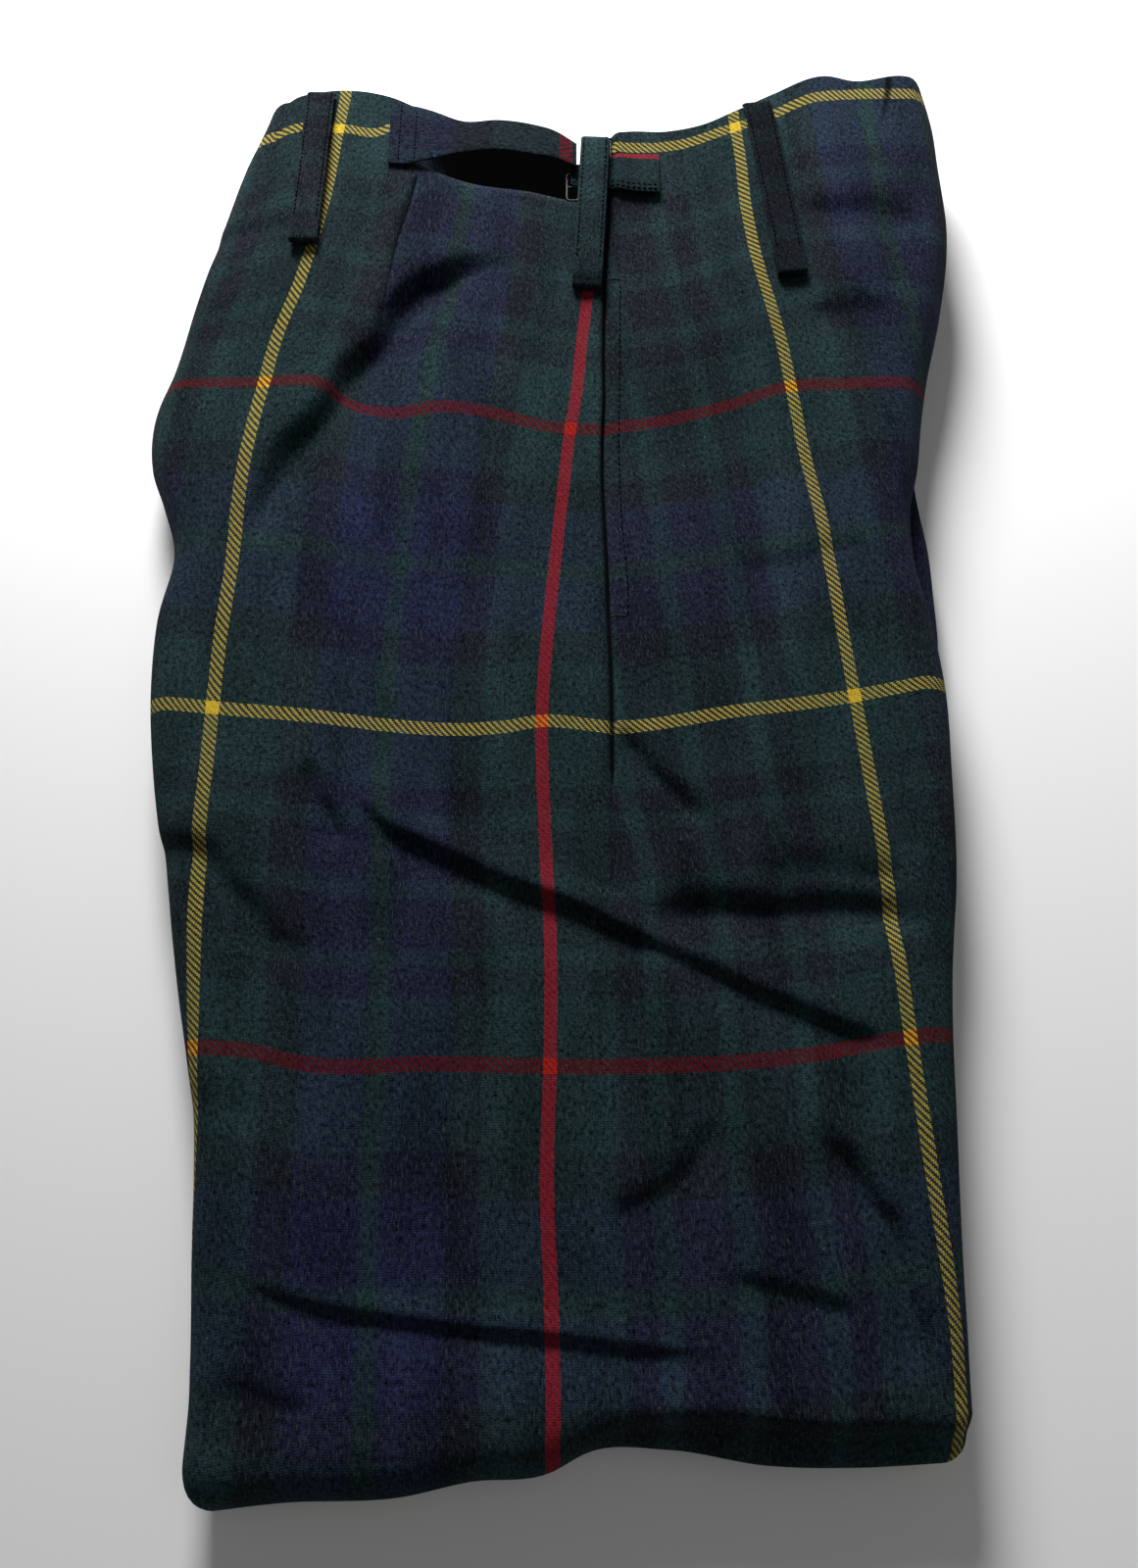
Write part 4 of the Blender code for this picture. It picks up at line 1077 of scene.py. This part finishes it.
def wool(name, shade=1.0):
    """Napped twill: two sets of striped threads, two over and two under; a shade below 1 darkens all of it as
    painted shade.
    """
    looks = {
        "Roughness": 0.95,
        "Specular IOR Level": 0.03,
        "Sheen Weight": 0.02,
        "Sheen Roughness": 0.5,
        "Sheen Tint": (0.70, 0.85, 1.0, 1.0),
    }
    material, tree, shader = new_material(name, looks)

    def calc(operation, first, second=None):
        return math_node(tree, operation, first, second)

    uv = uv_places(tree, "Threads")
    places = parts_of(tree, "ShaderNodeSeparateXYZ", uv)[:2]
    fuzz = noise(tree, uv, 0.55, 4.0, 0.7)
    blurs = parts_of(tree, "ShaderNodeSeparateColor", fuzz.outputs["Color"])
    grounds = []
    brights = []
    for way, (place, blur) in enumerate(zip(places, blurs)):
        wander = calc("SUBTRACT", blur, 0.5)
        wide = calc("ADD", place, calc("MULTIPLY", wander, 9.0))
        narrow = calc("ADD", place, calc("MULTIPLY", wander, 1.6))
        grounds.append(ground_colour(tree, repeat_share(tree, wide)))
        brights.append(bright_line(tree, repeat_share(tree, narrow), way))
    threads = [calc("MULTIPLY", place, TWILL) for place in places]
    step = calc("ADD", calc("FLOOR", threads[0]), calc("FLOOR", threads[1]))
    over = calc("LESS_THAN", calc("FLOORED_MODULO", step, 4.0), 2.0)
    under = calc("SUBTRACT", 1.0, over)
    share = calc("ADD", calc("MULTIPLY", over, 0.20), 0.45)
    colour = mix_colour(tree, share, grounds[1], grounds[0])

    # Grain, fibres of the nap, and broad streaks: partly the nap's own tone, partly painted shade of soft
    # folds
    grain = noise(tree, uv, 0.36, 5.0, 0.8).outputs["Fac"]
    spread = map_range(tree, grain, 0.36, 0.66, 0.05, 2.2)
    patches = stretched_noise(tree, uv, 0.0, (0.030, 0.010), 2.0)
    # shade below 1 scales the broad streaks and the fibres down: painted shade for a darker copy of the wool
    broad = map_range(tree, patches, 0.3, 0.7, 0.62 * shade, 1.38 * shade)
    colour = mix_colour(tree, 1.0, colour, calc("MULTIPLY", spread, broad), "MULTIPLY")
    for turn in (0.5, -0.85):
        fibre = map_range(tree, stretched_noise(tree, uv, turn, (1.0, 0.20), 1.0), 0.60, 0.70, 0.0, 0.55)
        colour = mix_colour(tree, fibre, colour, (0.050 * shade, 0.064 * shade, 0.070 * shade, 1.0))

    # Bright lines, thread by thread
    rounds = []
    for thread in threads:
        middle = calc("ABSOLUTE", calc("SUBTRACT", calc("FRACT", thread), 0.5))
        rounds.append(calc("SUBTRACT", 1.0, calc("MULTIPLY", middle, 1.6)))
    dimmer = map_range(tree, grain, 0.3, 0.7, 0.60, 1.35)
    lines = [calc("GREATER_THAN", showing, 0.015) for _, showing in brights]
    for way, side in ((1, under), (0, over)):
        line_colour, showing = brights[way]
        beneath = calc("MULTIPLY", calc("SUBTRACT", 1.0, side), showing)
        seen = calc("ADD", calc("MULTIPLY", side, 0.94), beneath)
        # Each bright thread is painted lighter along its middle and darker at its edges: painted shade of its
        # round
        bright = calc("ADD", calc("MULTIPLY", rounds[way], 0.7), 0.5)
        lit = mix_colour(tree, 1.0, line_colour, calc("MULTIPLY", dimmer, bright), "MULTIPLY")
        colour = mix_colour(tree, calc("MULTIPLY", lines[way], seen), colour, lit)
    crossing = calc("MULTIPLY", lines[0], lines[1])
    colour = mix_colour(tree, crossing, colour, (1.75, 1.50, 0.6, 1.0), "MULTIPLY")

    # Specks of lint, and painted shade along the seams, the dart and the fly
    looks = {"Scale": 0.13, "Randomness": 1.0, "Vector": uv}
    specks = node(tree, "ShaderNodeTexVoronoi", looks)
    kinds = parts_of(tree, "ShaderNodeSeparateColor", specks.outputs["Color"])
    near = calc("LESS_THAN", specks.outputs["Distance"], 0.085)
    rare = calc("GREATER_THAN", kinds[0], 0.95)
    lint = calc("MULTIPLY", calc("MULTIPLY", near, rare), 0.35)
    colour = mix_colour(tree, lint, colour, (0.16, 0.17, 0.17, 1.0))
    apart = parts_of(tree, "ShaderNodeSeparateXYZ", uv_places(tree, "Seams"))
    # Darker towards the side seam, the dart and the fly: painted shade of their grooves
    for distance, reach in zip(apart, (1.15, 0.9)):
        deep = map_range(tree, distance, 0.3 * reach, 1.5 * reach, 0.08, 1.0, "SMOOTHSTEP")
        colour = mix_colour(tree, 1.0, colour, deep, "MULTIPLY")
    tree.links.new(colour, shader.inputs["Base Color"])

    thread = calc("ADD", calc("MULTIPLY", rounds[0], over), calc("MULTIPLY", rounds[1], under))
    bump(tree, shader, calc("ADD", thread, calc("MULTIPLY", grain, 3.0)), 0.8, 0.00022)
    return material


def plain_cloth(name, colour, scale, bump_distance):
    """A dull, closely woven cloth of one colour."""
    material, tree, shader = new_material(name, {"Roughness": 0.9, "Specular IOR Level": 0.0})
    grain = noise(tree, uv_places(tree, "Threads"), scale, 4.0, 0.6).outputs["Fac"]
    spread = map_range(tree, grain, 0.0, 1.0, 0.5, 1.5)
    tone = mix_colour(tree, 1.0, (*colour, 1.0), spread, "MULTIPLY")
    tree.links.new(tone, shader.inputs["Base Color"])
    bump(tree, shader, grain, 0.5, bump_distance)
    return material


def nickel_with_painted_shade():
    material, tree, shader = new_material("Nickel wire with painted shade", {"Metallic": 1.0})
    place = node(tree, "ShaderNodeTexCoord").outputs["Object"]
    wear = noise(tree, place, 900.0, 4.0, 0.5).outputs["Fac"]
    rough = map_range(tree, wear, 0.0, 1.0, 0.38, 0.55)
    tree.links.new(rough, shader.inputs["Roughness"])
    # Base colour kept far darker than the bright metal, as painted shade of a buckle lying mostly in shade;
    # the noise varies it with wear
    tone = mix_colour(tree, wear, (0.012, 0.012, 0.012, 1.0), (0.045, 0.045, 0.043, 1.0))
    tree.links.new(tone, shader.inputs["Base Color"])
    return material


def surface_path(tree, points, lift, steps=6):
    path = smooth_path(np.array([(x, y, 0.0) for x, y in points]), steps)
    for point in path:
        point[2] = height_on(tree, point[0], point[1]) + lift
    return path


def dress():
    tartan = wool("Tartan wool")
    loop_wool = wool("Loop wool")
    # The strap, the tab and the front loop take darker copies of the same wool, as painted shade.
    strap_wool = wool("Strap wool with painted shade", 0.72)
    front_loop_wool_painted_shade = wool("Front loop wool with painted shade", 0.55)
    black = plain_cloth("Black facing", (0.0011, 0.0011, 0.0013), 1.6, 0.0001)
    dark_thread = plain_cloth("Dark sewing thread", (0.0022, 0.0028, 0.0040), 6.0, 0.00005)
    pale_thread = plain_cloth("Pale bar tack", (0.045, 0.050, 0.055), 6.0, 0.00005)

    back, back_grid = panel("back_leg_cloth", back_columns(), -1, False, [tartan, black])
    front, front_grid = panel("front_leg_cloth", front_columns(), 0, True, [tartan, black])
    far = far_layers(tartan, black)
    lining = facing(black)
    tree = tree_of((back_grid, front_grid))

    pieces = [(back, "back_leg_panel", "tartan_wool"), (front, "front_leg_panel", "tartan_wool")]
    pieces += [(far, "hidden_layers", "tartan_wool"), (lining, "waist_facing", "black_facing")]
    trims = []
    for row in LOOPS:
        own_wool = front_loop_wool_painted_shade if row[0] == "belt_loop_front" else loop_wool
        obj, centres, across = belt_loop(row, tree, own_wool)
        pieces.append((obj, row[0], "loop_wool"))
        lift = (0.0, 0.0, EDGE_STITCH_HEIGHT * LOOP_THICKNESS)
        shown = centres[: PATH_STEPS * (len(LOOP_PROFILE) - 1)] + lift
        reach = LOOP_WIDTH / 2 - EDGE_STITCH_INSET
        paths = [shown + side * reach * across for side in (-1, 1)]
        trims.append((stitch_lines(row[0] + "_stitches", paths, EDGE_STITCH, dark_thread), "loop_wool"))
    strap, strap_centres, strap_width = band(
        "strap_cloth", STRAP, STRAP_COLUMNS, lambda x: read(STRAP, STRAP_COLUMNS, "z", x),
        STRAP_THICKNESS, tree, STRAP_THREADS, STRAP_PITCH, strap_wool,
    )
    tab, tab_centres, tab_width = band(
        "tab_cloth", TAB, TAB_COLUMNS, lambda x: TAB_HEIGHT,
        TAB_THICKNESS, tree, TAB_THREADS, PITCH, strap_wool,
    )
    pieces += [(strap, "adjuster_strap", "strap_wool"), (tab, "adjuster_tab", "strap_wool")]
    for obj, replaced, slot in pieces:
        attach(obj, "root")
        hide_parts(replaced)

    paths = []
    for inset in TAB_STITCH_INSETS:
        lift = np.outer(np.ones(len(tab_centres)), (0.0, inset, EDGE_STITCH_HEIGHT * TAB_THICKNESS))
        lift[:, 1] -= np.array(tab_width) / 2
        paths.append(tab_centres + lift)
    trims.append((stitch_lines("tab_stitches", paths, EDGE_STITCH, dark_thread), "strap_wool"))
    paths = []
    for x in STRAP_STITCHES:
        centre = np.array([np.interp(x, strap_centres[:, 0], strap_centres[:, k]) for k in range(3)])
        reach = np.interp(x, strap_centres[:, 0], strap_width) / 2 - EDGE_STITCH_INSET
        lift = (0.0, 0.0, EDGE_STITCH_HEIGHT * STRAP_THICKNESS)
        paths.append(centre + (np.array(((0.0, -reach, 0.0), (0.0, reach, 0.0))) + lift))
    trims.append((stitch_lines("strap_stitches", paths, EDGE_STITCH, dark_thread), "strap_wool"))

    pocket = surface_path(tree, POCKET_LINE, 0.15)
    trims.append((stitch_lines("pocket_stitches", [pocket], POCKET_STITCH, dark_thread), "tartan_wool"))
    for name, y in TACKS:
        tack = surface_path(tree, ((21, y), (25, y), (29, y)), 0.2)
        trims.append((stitch_lines(name, [tack], TACK_STITCH, pale_thread), "tartan_wool"))
    for obj, slot in trims:
        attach(obj, "root")

    corners = (BUCKLE_CORNERS, BUCKLE_CORNER_RADIUS)
    buckle = wire_frame("buckle_wire", *corners, BUCKLE_Z, BUCKLE_WIRE, nickel_with_painted_shade())
    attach(buckle, "root")
    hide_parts("adjuster_buckle")


def studio():
    bpy.ops.mesh.primitive_plane_add(size=8.0, location=(0, 0, -0.0002))
    floor = bpy.context.object
    floor.name = "floor"
    pale = new_material("Pale floor", {"Base Color": (0.94, 0.94, 0.94, 1.0), "Roughness": 0.9})
    floor.data.materials.append(pale[0])

    world = bpy.data.worlds.new("Studio")
    bpy.context.scene.world = world
    world.use_nodes = True
    background = world.node_tree.nodes["Background"]
    background.inputs["Color"].default_value = (1.0, 1.0, 1.0, 1.0)
    background.inputs["Strength"].default_value = 0.10
    for name, place, aim, size, energy in (
        ("Key", (-0.22, 1.11, 0.68), (0.25, 0.70, 0.0), 0.55, 32.5),
        ("Fill", (0.6, -0.2, 1.8), (0.0, 0.02, 0.03), 1.6, 2.5),
    ):
        light = bpy.data.lights.new(name, "AREA")
        light.shape = "DISK"
        light.size = size
        light.energy = energy
        lamp = bpy.data.objects.new(name, light)
        lamp.location = place
        lamp.rotation_euler = (Vector(aim) - Vector(place)).to_track_quat("-Z", "Y").to_euler()
        bpy.context.scene.collection.objects.link(lamp)

    camera = bpy.data.cameras.new("Camera")
    camera.sensor_width = 36.0
    camera.lens = 36.0 * 1155.0 / 1600.0
    camera.clip_start = 0.01
    eye = bpy.data.objects.new("Camera", camera)
    eye.location = (0.0033, -0.2339, 0.5023)
    eye.rotation_euler = (math.radians(20.0), 0.0, 0.0)
    bpy.context.scene.collection.objects.link(eye)
    bpy.context.scene.camera = eye
    bpy.context.scene.view_settings.view_transform = "Standard"


dress()
studio()
